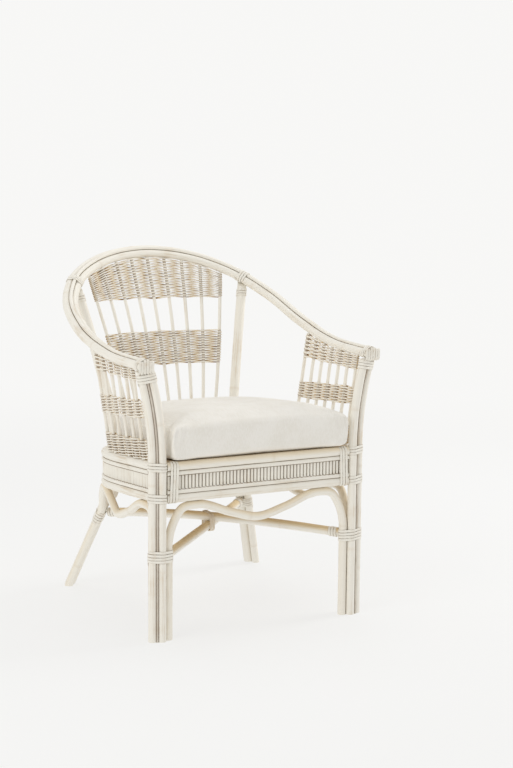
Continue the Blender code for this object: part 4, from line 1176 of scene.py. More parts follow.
def cane_finish(name, bareness):
    """Flat cane strip under a thin whitewash, with lines along the strip, painted shade at its edges and
    where it lies on a pole.
    """
    tints = bpy.context.scene.rattan_colours
    r = Recipe(name)
    lines = r.noise(r.coordinates("UV", (30.0, 1500.0, 1.0)), detail=3.0)
    patches = r.noise(r.coordinates("Object", (1.0, 1.0, 1.0)), scale=60.0, detail=3.0)
    worn = r.products(lines, 0.5, patches, 0.5)
    bare = r.spread(worn, 0.5, 0.7, bareness - 0.5, bareness)
    colour = r.mix(bare, rgba(tints.whitewash), rgba(tints.bare_cane_and_seam_shade))
    # Painted shade at the strip's edges and where it lies on a pole, mixed towards the groove colour
    shade_amount = r.spread(r.layer("stain"), 0.2, 1.0, 0.0, 0.25)
    colour = r.mix(shade_amount, colour, rgba(tints.groove))
    r.finish(colour, r.spread(lines, 0.3, 0.7, 0.40, 0.58), lines, 0.3, 0.0005, specular=0.45)


def wicker_finish(name):
    """Woven strands: painted highlight where they bulge, painted shade in tan on their flanks and in brown
    where they dive under, with random patches.
    """
    tints = bpy.context.scene.rattan_colours
    r = Recipe(name)
    fibres = r.noise(r.coordinates("UV", (60.0, 1600.0, 1.0)), detail=3.0)
    patches = r.noise(r.coordinates("Object", (1.0, 1.0, 1.0)), scale=45.0, detail=4.0)
    varied = r.math("ADD", r.layer("tone"), r.spread(patches, 0.25, 0.75, -0.08, 0.08))
    varied = r.math("ADD", varied, r.spread(fibres, 0.3, 0.7, -0.08, 0.06))
    # The ramp turns the painted shade and highlight into colour, dark to light
    stops = (
        (0.10, tints.weave_dive_shade),
        (0.34, tints.weave_flank_shade),
        (0.62, tints.weave_half_shade),
        (0.92, tints.whitewash),
    )
    colour = r.ramp(varied, stops)
    r.finish(colour, 0.62, fibres, 0.35, 0.0005, specular=0.3)


def canvas_finish(name):
    """Cream cotton canvas: plain weave on every face, slubs, a soft nap, and painted shade in the seam
    creases.
    """
    tints = bpy.context.scene.rattan_colours
    sizes = bpy.context.scene.rattan_sizes
    r = Recipe(name)
    place = r.add("TexCoord").outputs["Object"]
    axes = r.add("SeparateXYZ", {"Vector": place}).outputs
    rate = 2 * math.pi / sizes.canvas_thread
    threads = []
    for axis in ("X", "Y", "Z"):
        turned = r.math("MULTIPLY", axes[axis], rate)
        threads.append(r.add("Math", {0: turned}, operation="SINE").outputs[0])
    across, back, upright = threads
    weave = r.products(across, back, upright, across)
    weave = r.math("ADD", weave, r.math("MULTIPLY", back, upright))
    slubs = r.noise(r.coordinates("Object", (520.0, 40.0, 160.0)), detail=2.0)
    cloud = r.noise(place, scale=14.0, detail=3.0)
    shade = r.products(slubs, 0.5, cloud, 0.5)
    shade = r.spread(shade, 0.35, 0.68, 0.0, 0.75)
    tone = r.math("ADD", shade, r.math("MULTIPLY", weave, 0.10))
    colour = r.mix(tone, rgba(tints.canvas), rgba(tints.canvas_shade))
    # Painted shade in the seam creases, in the bare cane colour
    colour = r.mix(r.math("MULTIPLY", r.layer("stain"), 0.7), colour, rgba(tints.bare_cane_and_seam_shade))
    height = r.math("ADD", r.math("MULTIPLY", weave, 0.3), slubs)
    r.finish(colour, 0.88, height, 0.25, 0.0006, specular=0.2)
    r.shader.inputs["Sheen Weight"].default_value = 0.12
    r.shader.inputs["Sheen Roughness"].default_value = 0.5


def board_finish(name):
    """Plain sawn board with straight grain across the seat."""
    tints = bpy.context.scene.rattan_colours
    r = Recipe(name)
    grain = r.noise(r.coordinates("Object", (3.0, 90.0, 90.0)), detail=5.0, roughness=0.65)
    rings = r.noise(r.coordinates("Object", (1.2, 14.0, 14.0)), detail=2.0)
    dark = tuple(0.55 * part for part in tints.board)
    colour = r.ramp(r.products(grain, 0.55, rings, 0.45), ((0.30, dark), (0.75, tuple(tints.board))))
    r.finish(colour, r.spread(grain, 0.3, 0.7, 0.55, 0.78), grain, 0.4, 0.0008)


def floor_finish(name):
    """Pale studio floor that keeps the shadow and fades into the plain backdrop far from the chair."""
    stage = bpy.context.scene.rattan_stage
    r = Recipe(name)
    place = r.add("TexCoord").outputs["Object"]
    away = r.add("VectorMath", {0: place}, operation="LENGTH").outputs["Value"]
    speck = r.noise(place, scale=3.0, detail=3.0)
    darker = rgba([0.985 * part for part in stage.floor])
    colour = r.mix(r.spread(speck, 0.2, 0.8), rgba(stage.floor), darker)
    r.fill(r.shader.inputs["Base Color"], colour)
    r.shader.inputs["Roughness"].default_value = 0.75
    r.shader.inputs["Specular IOR Level"].default_value = 0.15
    glow = r.add("Emission", {"Color": rgba(stage.backdrop), "Strength": 1.0})
    path = r.add("LightPath").outputs
    seen = r.math("MAXIMUM", path["Is Camera Ray"], path["Is Glossy Ray"])
    shown = r.spread(away, stage.fade_near, stage.fade_far, stage.floor_glow, 1.0)
    change = r.math("MULTIPLY", seen, r.math("SUBTRACT", shown, stage.floor_light))
    lit = r.math("ADD", stage.floor_light, change)
    mixed = r.add("MixShader", {0: lit, 1: r.shader.outputs[0], 2: glow.outputs[0]})
    r.tree.links.new(mixed.outputs[0], r.tree.nodes["Material Output"].inputs["Surface"])
    return r.material


# Settings that a user would change

class RattanSizes(bpy.types.PropertyGroup):
    knot_spacing: bpy.props.FloatProperty(
        name="Knot spacing", description="Usual run between the rings of a pole", default=0.27, unit="LENGTH"
    )
    knot_swell: bpy.props.FloatProperty(
        name="Knot swell", description="How much a ring stands out, as a share of the radius", default=0.02,
        subtype="FACTOR", min=0.0, max=0.2,
    )
    strand_pitch: bpy.props.FloatProperty(
        name="Strand pitch", description="Height of one row of weaving", default=0.0031, unit="LENGTH"
    )
    strand_thickness: bpy.props.FloatProperty(
        name="Strand thickness", description="Thickness of a strand through the panel", default=0.0024,
        unit="LENGTH",
    )
    strand_steps: bpy.props.IntProperty(
        name="Strand steps", description="Points of a strand between two stakes", default=8, min=4
    )
    canvas_thread: bpy.props.FloatProperty(
        name="Canvas thread", description="Width of two threads of the canvas", default=0.0022, unit="LENGTH"
    )
    cushion_voxel: bpy.props.FloatProperty(
        name="Cushion voxel", description="Grain of the cushion before it is blown up", default=0.006,
        unit="LENGTH",
    )
    cushion_swell: bpy.props.FloatProperty(
        name="Cushion swell", description="Most that a point of the cushion moves when it is blown up",
        default=0.006, unit="LENGTH",
    )


class RattanColours(bpy.types.PropertyGroup):
    whitewash: bpy.props.FloatVectorProperty(
        name="Whitewash", description="Chalky white on poles, cane and strands", subtype="COLOR",
        default=(0.89, 0.853, 0.765), min=0.0, max=1.0,
    )
    # Also the colour of the painted shade in the cushion's seam creases
    bare_cane_and_seam_shade: bpy.props.FloatVectorProperty(
        name="Bare cane and seam shade", description="Rattan where the whitewash is rubbed off, also painted shade in the cushion's seams", subtype="COLOR",
        default=(0.60, 0.45, 0.27), min=0.0, max=1.0,
    )
    # Painted warm shade for upward faces in the shelter of the seat
    painted_warm_shade: bpy.props.FloatVectorProperty(
        name="Painted warm shade", description="Painted warm shade on rattan in the shelter of the seat", subtype="COLOR",
        default=(0.83, 0.66, 0.40), min=0.0, max=1.0,
    )
    # Colour of the painted shade in grooves and under bindings
    groove: bpy.props.FloatVectorProperty(
        name="Groove", description="Painted shade in grooves and under bindings", subtype="COLOR",
        default=(0.27, 0.18, 0.10), min=0.0, max=1.0,
    )
    # Painted half shade, flank shade and dive shade of the strands
    weave_half_shade: bpy.props.FloatVectorProperty(
        name="Weave half shade", description="Strands in painted half shade", subtype="COLOR",
        default=(0.84, 0.73, 0.53), min=0.0, max=1.0,
    )
    weave_flank_shade: bpy.props.FloatVectorProperty(
        name="Weave flank shade", description="Painted shade on the flanks of the strands", subtype="COLOR",
        default=(0.67, 0.465, 0.225), min=0.0, max=1.0,
    )
    weave_dive_shade: bpy.props.FloatVectorProperty(
        name="Weave dive shade", description="Painted shade where strands dive under a stake", subtype="COLOR",
        default=(0.33, 0.22, 0.115), min=0.0, max=1.0,
    )
    canvas: bpy.props.FloatVectorProperty(
        name="Canvas", description="Lit threads of the cushion", subtype="COLOR",
        default=(0.895, 0.868, 0.81), min=0.0, max=1.0,
    )
    canvas_shade: bpy.props.FloatVectorProperty(
        name="Canvas shade", description="Darker threads of the cushion", subtype="COLOR",
        default=(0.815, 0.778, 0.70), min=0.0, max=1.0,
    )
    board: bpy.props.FloatVectorProperty(
        name="Board", description="Board under the cushion", subtype="COLOR",
        default=(0.70, 0.53, 0.33), min=0.0, max=1.0,
    )


class RattanStage(bpy.types.PropertyGroup):
    floor: bpy.props.FloatVectorProperty(
        name="Floor", description="Pale studio floor", subtype="COLOR",
        default=(0.88, 0.88, 0.87), min=0.0, max=1.0,
    )
    backdrop: bpy.props.FloatVectorProperty(
        name="Backdrop", description="Pale studio backdrop", subtype="COLOR",
        default=(0.935, 0.932, 0.92), min=0.0, max=1.0,
    )
    fade_near: bpy.props.FloatProperty(
        name="Fade near", description="Where the floor starts to fade into the backdrop",
        default=1.0, unit="LENGTH",
    )
    fade_far: bpy.props.FloatProperty(
        name="Fade far", description="Where the floor has become the backdrop", default=3.5, unit="LENGTH"
    )
    floor_glow: bpy.props.FloatProperty(
        name="Floor glow", description="Share of the backdrop in the floor beside the chair", default=0.74,
        subtype="FACTOR", min=0.0, max=1.0,
    )
    floor_light: bpy.props.FloatProperty(
        name="Floor light", description="Share of the backdrop in the light that the floor throws up",
        default=0.9, subtype="FACTOR", min=0.0, max=1.0,
    )
    sky: bpy.props.FloatProperty(name="Sky", description="Strength of the light from all round", default=0.64)
    key: bpy.props.FloatProperty(
        name="Key", description="Power of the large soft lamp at the left", default=29.0, unit="POWER"
    )
    fill: bpy.props.FloatProperty(
        name="Fill", description="Power of the lamp at the right", default=40.0, unit="POWER"
    )
    overhead: bpy.props.FloatProperty(
        name="Overhead", description="Power of the lamp above", default=20.0, unit="POWER"
    )


# Operators, one for each group of like pieces

class RATTAN_OT_finishes(bpy.types.Operator):
    """Mixes the whitewashed, woven, canvas and board finishes"""

    bl_idname = "rattan.finishes"
    bl_label = "Finishes"

    def execute(self, context):
        rattan_finish("whitewashed rattan", 0.5, 0.0)
        # The next two finishes paint warm shade on upward faces under the seat, the second more strongly
        rattan_finish("sheltered rattan", 0.25, 0.5)
        rattan_finish("rubbed rattan", 0.25, 0.95)
        rattan_finish("stake rattan", 0.55, 0.0)
        rattan_finish("reed rattan", 0.55, 0.0)
        cane_finish("flat cane", 0.5)
        cane_finish("bare lashing", 1.0)
        wicker_finish("woven wicker")
        canvas_finish("cream canvas")
        board_finish("plain board")
        return {"FINISHED"}


class RATTAN_OT_legs(bpy.types.Operator):
    """Builds the front leg poles, the strips in their grooves and the rear legs"""

    bl_idname = "rattan.legs"
    bl_label = "Legs and posts"

    def execute(self, context):
        top = ((0, 0, POST_TOP), (0, 0, -1))
        middle = arm_post_path(0.0, 0.0)
        add_pole_pair("front_leg_middle_pole", [rod(middle, LEG_R, POLE_SIDES, 1)], cuts=[FLOOR, top])
        outer = arm_post_path(LEG_DX, LEG_POLE_STEP)
        add_pole_pair("front_leg_outer_pole", [rod(outer, LEG_R, POLE_SIDES, 2)], cuts=[FLOOR, top])
        strip = rod(post_strip_path(), POST_STRIP_R, THIN_SIDES, 3, knots=False)
        # Painted shade over the whole groove strip of the arm post
        strip["stain"] = np.full(strip["grid"].shape[:2], POST_STRIP_SHADE)
        add_pole_pair("arm_post_strip", [strip], cuts=[FLOOR, top])
        under = HOOP[POST_INDEX] - HOOP_UP[POST_INDEX] * wound(HOOP_R + BEND_EASE + GAP)
        rear = rod(rear_leg_path(), POST_R, POLE_SIDES, 4)
        add_pole_pair(
            "rear_leg_and_back_post", [rear], cuts=[FLOOR, (tuple(under), tuple(-HOOP_UP[POST_INDEX]))]
        )
        return {"FINISHED"}


class RATTAN_OT_arches(bpy.types.Operator):
    """Bends the arches under the front and the sides of the seat"""

    bl_idname = "rattan.arches"
    bl_label = "Arches"

    def execute(self, context):
        # The arches carry painted warm shade on their upward faces
        front = rod(front_arch_path(), ARCH_R, POLE_SIDES, 5)
        add_pole("front_arch_pole", [front], "sheltered rattan", [FLOOR])
        side = rod(side_arch_path(), ARCH_R, POLE_SIDES, 6)
        add_pole_pair("side_arch_pole", [side], "sheltered rattan", [FLOOR])
        return {"FINISHED"}


class RATTAN_OT_seat_frame(bpy.types.Operator):
    """Builds the seat rails, the strips that edge the reeds, and the bearers"""

    bl_idname = "rattan.seat_frame"
    bl_label = "Seat frame"

    def execute(self, context):
        seed = 10
        for place, height in (("top", TOP_RAIL_Z), ("bottom", BOTTOM_RAIL_Z)):
            # The top rails carry painted warm shade on their tops, under the cushion
            finish = "sheltered rattan" if place == "top" else "whitewashed rattan"
            front = rod(front_run(0.0, height), RAIL_R, POLE_SIDES, seed)
            add_pole(f"seat_front_{place}_rail", [front], finish)
            ring = rod(ring_run(0.0, height), RAIL_R, POLE_SIDES, seed + 1)
            add_pole(f"seat_round_{place}_rail", [ring])
            seed += 2
        for place, height in (("upper", UPPER_STRIP_Z), ("lower", LOWER_STRIP_Z)):
            front = rod(front_run(BAND_OUTSET, height), STRIP_R, THIN_SIDES, seed, knots=False)
            add_pole(f"seat_front_{place}_strip", [front])
            ring = rod(ring_run(BAND_OUTSET, height), STRIP_R, THIN_SIDES, seed + 1, knots=False)
            add_pole(f"seat_round_{place}_strip", [ring])
            seed += 2
        for place, back in BEARER_BACKS:
            reach = min(where(LEFT_RING, 1, back + side * BEARER_R)[0] for side in (-1, 1))
            half = reach - RAIL_R - 2 * GAP
            height = SEAT_TOP - DECK_THICKNESS - 2 * GAP - BEARER_R
            ends = raked([(side * half, back, 0.0) for side in (-1, 1)], height)
            bearer = rod(spaced(ends), BEARER_R, POLE_SIDES, seed)
            # The bearers carry strong painted warm shade on their upward faces
            add_pole(f"seat_{place}_bearer", [bearer], "rubbed rattan")
            seed += 1
        return {"FINISHED"}


class RATTAN_OT_reeds(bpy.types.Operator):
    """Stands the rows of reeds between the seat rails"""

    bl_idname = "rattan.reeds"
    bl_label = "Reeds"

    def execute(self, context):
        front = front_run(0.0, 0.0)
        count = round(2 * FRONT_END / REED_PITCH)
        add_pole("seat_front_reeds", reed_row(front, count, 21), "reed rattan")
        count = round(travel(RING)[-1] / REED_PITCH)
        add_pole("seat_round_reeds", reed_row(RING, count, 22), "reed rattan")
        return {"FINISHED"}


class RATTAN_OT_stretchers(bpy.types.Operator):
    """Crosses the two stretchers between the legs"""

    bl_idname = "rattan.stretchers"
    bl_label = "Stretchers"

    def execute(self, context):
        low = rod(LOW_STRETCHER, STRETCHER_R, POLE_SIDES, 23)
        # The stretchers carry strong painted warm shade on their tops
        add_pole("low_stretcher", [low], "rubbed rattan")
        high = rod(HIGH_STRETCHER, STRETCHER_R, POLE_SIDES, 24)
        add_pole("high_stretcher", [high], "rubbed rattan")
        return {"FINISHED"}


class RATTAN_OT_hoop(bpy.types.Operator):
    """Bends the two poles and the groove strip of the hoop that makes the arms and back"""

    bl_idname = "rattan.hoop"
    bl_label = "Hoop"

    def execute(self, context):
        soft = HOOP_SOFT_END * HOOP_R
        for name, path, seed in (
            ("hoop_inner_pole", HOOP_INNER, 25),
            ("hoop_outer_pole", HOOP + HOOP_OUT * HOOP_STEP, 26),
        ):
            path = with_soft_ends(path, soft)
            add_pole(name, [rod(path, HOOP_R, POLE_SIDES, seed, soft_ends=soft)])
        strip = with_soft_ends(HOOP + HOOP_UP * HOOP_STRIP_RISE, HOOP_STRIP_R)
        soft = STRIP_SOFT_END * HOOP_STRIP_R
        sheet = rod(strip, HOOP_STRIP_R, THIN_SIDES, 27, knots=False, soft_ends=soft)
        add_pole("hoop_groove_strip", [sheet])
        return {"FINISHED"}


class RATTAN_OT_bindings(bpy.types.Operator):
    """Winds cane round legs, rails, hoop and stretchers, and lays strips over the arm ends"""

    bl_idname = "rattan.bindings"
    bl_label = "Bindings"

    def execute(self, context):
        along_x, upright = np.array((1.0, 0, 0)), np.array((0, 0, 1.0))
        for name, height, circles, turns in (
            ("front_leg_binding", LEG_BINDING_HEIGHT, LEG_CIRCLES, LEG_TURNS),
            ("seat_top_binding", TOP_RAIL_Z, POST_CIRCLES, WINDING_TURNS),
            ("seat_bottom_binding", BOTTOM_RAIL_Z, POST_CIRCLES, WINDING_TURNS),
        ):
            centre = np.array((LEG_X, 0.0, height))
            add_binding_pair(name, centre, upright, along_x, circles, turns, 0.0, turns)
        height = POST_TOP - winding_length(WINDING_TURNS) / 2 - GAP
        axis = np.array((arm_lean(height)[1], 0.0, 1.0))
        post = on_arm_post(0.0, 0.0, height)
        add_binding_pair(
            "arm_post_binding", post, axis, along_x, POST_CIRCLES, WINDING_TURNS, POST_BEND_EASE, 31
        )
        rear = [((0.0, 0.0), POST_R), ((REAR_ARCH_STEP, 0.0), ARCH_R)]
        centre = on_rear_leg(REAR_BINDING_HEIGHT)
        add_binding_pair("rear_leg_binding", centre, REAR_RUN, REAR_ARCH_SIDE, rear, LEG_TURNS, 0.0, 32)
        rails = [((0.0, 0.0), RAIL_R), ((BOTTOM_RAIL_Z - TOP_RAIL_Z, 0.0), RAIL_R)]
        inset = winding_length(WINDING_TURNS) / 2 + RAIL_BINDING_INSET
        centre = np.array((FRONT_END - inset, FRONT_SETBACK, TOP_RAIL_Z))
        add_binding_pair("seat_rail_binding", centre, along_x, upright, rails, WINDING_TURNS, 0.0, 33)
        self.wind_hoop()
        add_arm_end_strips()
        self.wind_stretchers(along_x, upright)
        return {"FINISHED"}

    def wind_hoop(self):
        over_post = where(HOOP[: len(HOOP) // 4], 1, LEG_POLE_STEP / 2)
        run = headings(HOOP)
        for name, centre, index in (
            ("arm_end_loops", over_post, HOOP_FINE // 2),
            ("hoop_post_loops", HOOP[POST_INDEX], POST_INDEX),
        ):
            axis, across, seed = run[index], -HOOP_OUT[index], 34 + index
            add_binding_pair(
                name, centre, axis, across, HOOP_CIRCLES, WINDING_TURNS, POST_BEND_EASE, seed
            )
        path = rear_leg_path()
        axis = unit(path[-1] - path[-3])
        upper = HOOP_UP[POST_INDEX]
        drop = wound(HOOP_R + BEND_EASE + GAP) + POST_R * math.sqrt(1 - axis.dot(upper) ** 2)
        length = drop / axis.dot(upper) + winding_length(WINDING_TURNS) / 2
        circles = [((0.0, 0.0), POST_R)]
        centre = path[-1] - axis * length
        along_x = np.array((1.0, 0, 0))
        add_binding_pair("back_post_binding", centre, axis, along_x, circles, WINDING_TURNS, 0.0, 36)

    def wind_stretchers(self, along_x, upright):
        circles = [((0.0, 0.0), STRETCHER_R)]
        inset = winding_length(WINDING_TURNS) / 2 + GAP
        seed = 40
        for name, path in (("low_stretcher", LOW_STRETCHER), ("high_stretcher", HIGH_STRETCHER)):
            for end, run in (("front", path), ("rear", path[::-1])):
                axis = unit(run[END_STEPS] - run[0])
                centre = run[0] + axis * inset
                sheet = cane_winding(centre, axis, upright, circles, WINDING_TURNS, 0.0, seed)
                add_binding(f"{name}_{end}_binding", sheet)
                seed += 1
        run = unit(LOW_STRETCHER[-1] - LOW_STRETCHER[0])
        reach = winding_length(CROSS_TURNS) / 2 * run[1] / run[0] + STRETCHER_R / run[0] - STRETCHER_R
        rise = 2 * STRETCHER_R + 2 * GAP
        crossed = [((up, side * reach), STRETCHER_R) for up in (0.0, rise) for side in (-1, 1)]
        centre = np.array((0.0, CROSSING[1], LOW_STRETCHER_Z))
        lashing = cane_winding(centre, along_x, upright, crossed, CROSS_TURNS, 0.0, seed)
        add_binding("stretcher_cross_binding", lashing, "bare lashing")


class RATTAN_OT_wicker(bpy.types.Operator):
    """Weaves the bands of the back and side panels round their stakes"""

    bl_idname = "rattan.wicker"
    bl_label = "Wicker panels"

    def execute(self, context):
        bands = tuple(zip((seat_band, back_low_band, back_top_band), BACK_WHITENESS))
        self.weave("back", back_stake, BACK_STAKES, bands)
        bands = tuple(zip((seat_band, side_low_band, side_top_band), SIDE_WHITENESS))
        self.weave("left", side_stake, SIDE_STAKES, bands)
        self.weave("right", lambda share: mirrored(side_stake(share)), SIDE_STAKES, bands)
        return {"FINISHED"}

    def weave(self, side, stake_at, stakes, bands):
        seed = 50 + stakes
        sheets = []
        for number, (band, whiteness) in enumerate(bands):
            sheets.append(woven_band(stake_at, stakes, band, whiteness, seed + number))
        name, panel = side + "_wicker_weave", side + "_wicker_panel"
        place_piece(name, mesh_from(name, sheets), "woven wicker", "frame", [panel])
        rods = []
        for index in range(stakes):
            path = spaced(stake_at(index / (stakes - 1)))
            sheet = rod(path, STAKE_R, STAKE_SIDES, seed + index, knots=False)
            height = sheet["grid"][:, :, 2]
            for band, _ in bands:
                low, high = band(path)
                inside = (height > low) & (height < high)
                # Painted shade on the stakes where the strands cover them
                sheet["stain"] = np.where(inside, STAKE_SHADE, sheet["stain"])
            rods.append(sheet)
        name = side + "_wicker_stakes"
        place_piece(name, mesh_from(name, rods), "stake rattan", "frame", [])


class RATTAN_OT_deck(bpy.types.Operator):
    """Gives the seat board its wood grain"""

    bl_idname = "rattan.deck"
    bl_label = "Seat board"

    def execute(self, context):
        board = frame["nodes"]["seat_deck_board"]
        board.data.materials.clear()
        board.data.materials.append(bpy.data.materials["plain board"])
        return {"FINISHED"}


class RATTAN_OT_cushion(bpy.types.Operator):
    """Blows up the loose seat cushion and sews its seams"""

    bl_idname = "rattan.cushion"
    bl_label = "Cushion"

    def execute(self, context):
        sizes = context.scene.rattan_sizes
        mesh = self.padding("cushion_canvas", sizes.cushion_voxel)
        self.blow_up(context, mesh, sizes.cushion_swell)
        self.refine(mesh)
        self.fill_out(mesh)
        self.sew(mesh)
        nodes = ["cushion_cover", "cushion_foam"]
        piece = place_piece("cushion_canvas", mesh, "cream canvas", "cushion", nodes)
        return {"FINISHED"}

    def padding(self, name, voxel):
        """The foam's shape at the grain of a cloth."""
        bm = bmesh.new()
        bm.from_mesh(frame["nodes"]["cushion_foam"].data)
        bmesh.ops.remove_doubles(bm, verts=bm.verts, dist=FOAM_WELD)
        mesh = bpy.data.meshes.new(name)
        bm.to_mesh(mesh)
        bm.free()
        block = bpy.data.objects.new("padding", mesh)
        bpy.context.scene.collection.objects.link(block)
        remesh = block.modifiers.new("grain", "REMESH")
        remesh.mode = "VOXEL"
        remesh.voxel_size = voxel
        fine = evaluated_mesh(block, name)
        bpy.data.objects.remove(block)
        bpy.data.meshes.remove(mesh)
        bm = bmesh.new()
        bm.from_mesh(fine)
        smooth_all(bm, CUSHION_SMOOTHING)
        bm.to_mesh(fine)
        bm.free()
        return fine

    def blow_up(self, context, mesh, most):
        start = points_of(mesh)
        block = bpy.data.objects.new("padding", mesh.copy())
        context.scene.collection.objects.link(block)
        cloth = block.modifiers.new("pressure", "CLOTH")
        cloth.settings.use_pressure = True
        cloth.settings.uniform_pressure_force = CUSHION_PRESSURE
        cloth.settings.effector_weights.gravity = 0.0
        for number in range(1, CUSHION_FRAMES + 1):
            context.scene.frame_set(number)
        swollen = evaluated_mesh(block, "swollen")
        moved = points_of(swollen) - start
        context.scene.frame_set(1)
        bpy.data.objects.remove(block)
        length = np.linalg.norm(moved, axis=1)[:, None]
        moved *= np.minimum(1.0, most / np.maximum(length, TINY))
        end = start + moved
        deck = raked(end - SHIFT, SEAT_TOP + 2 * GAP)[:, 2]
        end[:, 2] = np.maximum(end[:, 2], deck)
        move_points(mesh, end)

    def refine(self, mesh):
        bm = bmesh.new()
        bm.from_mesh(mesh)
        bmesh.ops.subdivide_edges(bm, edges=bm.edges, cuts=1, use_grid_fill=True, smooth=1.0)
        smooth_all(bm, 1)
        bm.to_mesh(mesh)
        bm.free()
        mesh.shade_smooth()

    def fill_out(self, mesh):
        """Fills the cover's size, with full edges, square front corners and a crowned front panel."""
        points = points_of(mesh) - SHIFT
        level = points[:, 2] - raked(points, SEAT_TOP)[:, 2]
        level = 2 * GAP + (level - level.min()) * (CUSHION_HEIGHT - 2 * GAP) / np.ptp(level)
        low, high = (np.array(corner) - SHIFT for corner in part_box("cushion_cover"))
        for axis in (0, 1):
            share = (points[:, axis] - points[:, axis].min()) / np.ptp(points[:, axis])
            span = high[axis] - low[axis] + 2 * CUSHION_EASE
            points[:, axis] = low[axis] - CUSHION_EASE + share * span
        level = np.interp(level, *np.array(CUSHION_FULLNESS).T)
        half = high[0] + CUSHION_EASE
        corner = np.stack([np.abs(points[:, 0]) - half, low[1] - CUSHION_EASE - points[:, 1]], axis=1)
        corner = np.clip(corner + CUSHION_CORNER, 0.0, None) / CUSHION_CORNER
        reach = np.linalg.norm(corner, axis=1)
        square = (corner**CUSHION_SQUARENESS).sum(axis=1) ** (1 / CUSHION_SQUARENESS)
        squarer = reach / np.maximum(square, TINY)
        squarer = np.where((corner > 0).all(axis=1), squarer, 1.0)[:, None]
        push = (np.minimum(corner * squarer, np.maximum(corner, 1.0)) - corner) * CUSHION_CORNER
        points[:, 0] += np.sign(points[:, 0]) * push[:, 0]
        points[:, 1] -= push[:, 1]
        middle, behind = 1 - (points[:, 0] / half) ** 2, points[:, 1] - low[1]
        crown = middle * bell(behind, CUSHION_CROWN_DEPTH)
        edge = middle * bell(behind, CUSHION_LIFT_DEPTH)
        rise = np.clip(level / CUSHION_HEIGHT, 0.0, 1.0)
        level += CUSHION_FRONT_CROWN * crown * rise + CUSHION_FRONT_LIFT * edge * (1 - rise)
        points[:, 2] = raked(points, SEAT_TOP)[:, 2] + level
        move_points(mesh, points + SHIFT)

    def sew(self, mesh):
        """Draws the cloth in along the two seams of the boxing, paints shade into those creases, and folds it
        at the front corners.
        """
        points = points_of(mesh)
        normals = np.empty(len(mesh.vertices) * 3, np.float32)
        mesh.vertices.foreach_get("normal", normals)
        normals = normals.reshape(-1, 3)
        low, high = (np.array(corner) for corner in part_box("cushion_foam"))
        level = points[:, 2] + SEAT_RAKE * (points[:, 1] - SHIFT[1] - FRONT_SETBACK) - SEAT_TOP
        around = np.arctan2(points[:, 1] - (low[1] + high[1]) / 2, points[:, 0])
        stain = np.zeros(len(points))
        for height in SEAM_HEIGHTS:
            crease = bell(level - height, SEAM_WIDTH) * (1 - np.abs(normals[:, 2]))
            pucker = 1 - STITCH_DEPTH + STITCH_DEPTH * np.sin(around * SEAM_STITCHES)
            points -= normals * (SEAM_DEPTH * crease * pucker)[:, None]
            # Painted shade along the seam crease
            stain = np.maximum(stain, SEAM_SHADE * crease)
        aside = (np.abs(points[:, 0]) - high[0]) / FOLD_SPREAD[0]
        behind = (points[:, 1] - low[1]) / FOLD_SPREAD[1]
        fold = bell(np.hypot(aside, behind), 1.0) * bell(level - FOLD_LEVEL, FOLD_HEIGHT)
        across = np.abs(points[:, 0]) + points[:, 1] + FOLD_LEAN * (level - FOLD_LEVEL)
        points -= normals * (FOLD_DEPTH * fold * np.sin(across * 2 * math.pi / FOLD_PITCH))[:, None]
        add_layer(mesh, "stain", stain)
        move_points(mesh, points)


def evaluated_mesh(block, name):
    graph = bpy.context.evaluated_depsgraph_get()
    mesh = bpy.data.meshes.new_from_object(block.evaluated_get(graph))
    mesh.name = name
    return mesh


def points_of(mesh):
    points = np.empty(len(mesh.vertices) * 3, np.float32)
    mesh.vertices.foreach_get("co", points)
    return points.reshape(-1, 3).astype(np.float64)


def move_points(mesh, points):
    mesh.vertices.foreach_set("co", points.astype(np.float32).ravel())
    mesh.update()


def smooth_all(bm, rounds):
    for _ in range(rounds):
        bmesh.ops.smooth_vert(
            bm, verts=bm.verts, factor=0.5, use_axis_x=True, use_axis_y=True, use_axis_z=True
        )


class RATTAN_OT_grooves(bpy.types.Operator):
    """Paints shade into the colour where whitewashed pieces lie close together"""

    bl_idname = "rattan.grooves"
    bl_label = "Painted shade in grooves"

    def execute(self, context):
        reach = SHADE_REACH
        pieces = []
        for piece in bpy.data.collections[WHITEWASHED].objects:
            bm = bmesh.new()
            bm.from_mesh(piece.data)
            points = points_of(piece.data)
            corners = points.min(axis=0), points.max(axis=0)
            pieces.append((piece.data, points, *corners, BVHTree.FromBMesh(bm)))
            bm.free()
        for mesh, points, low, high, _ in pieces:
            layer = mesh.attributes["stain"]
            stain = np.empty(len(points), np.float32)
            layer.data.foreach_get("value", stain)
            for other, _, near, far, tree in pieces:
                if other is mesh or (near > high + reach).any() or (far < low - reach).any():
                    continue
                # Painted shade fades with distance from a neighbouring piece, and is lighter beside cane
                depth = SHADE_BY_CANE if other.name.endswith("_cane") else 1.0
                inside = ((points > near - reach) & (points < far + reach)).all(axis=1)
                for index in np.nonzero(inside)[0]:
                    distance = tree.find_nearest(points[index], reach)[3]
                    if distance is not None:
                        stain[index] = max(stain[index], depth * (1 - distance / reach))
            layer.data.foreach_set("value", stain)
        return {"FINISHED"}


def standing(place, axes):
    """What puts an object at a place, turned to these axes."""
    return Matrix.Translation(place) @ Matrix(axes.tolist()).to_4x4()


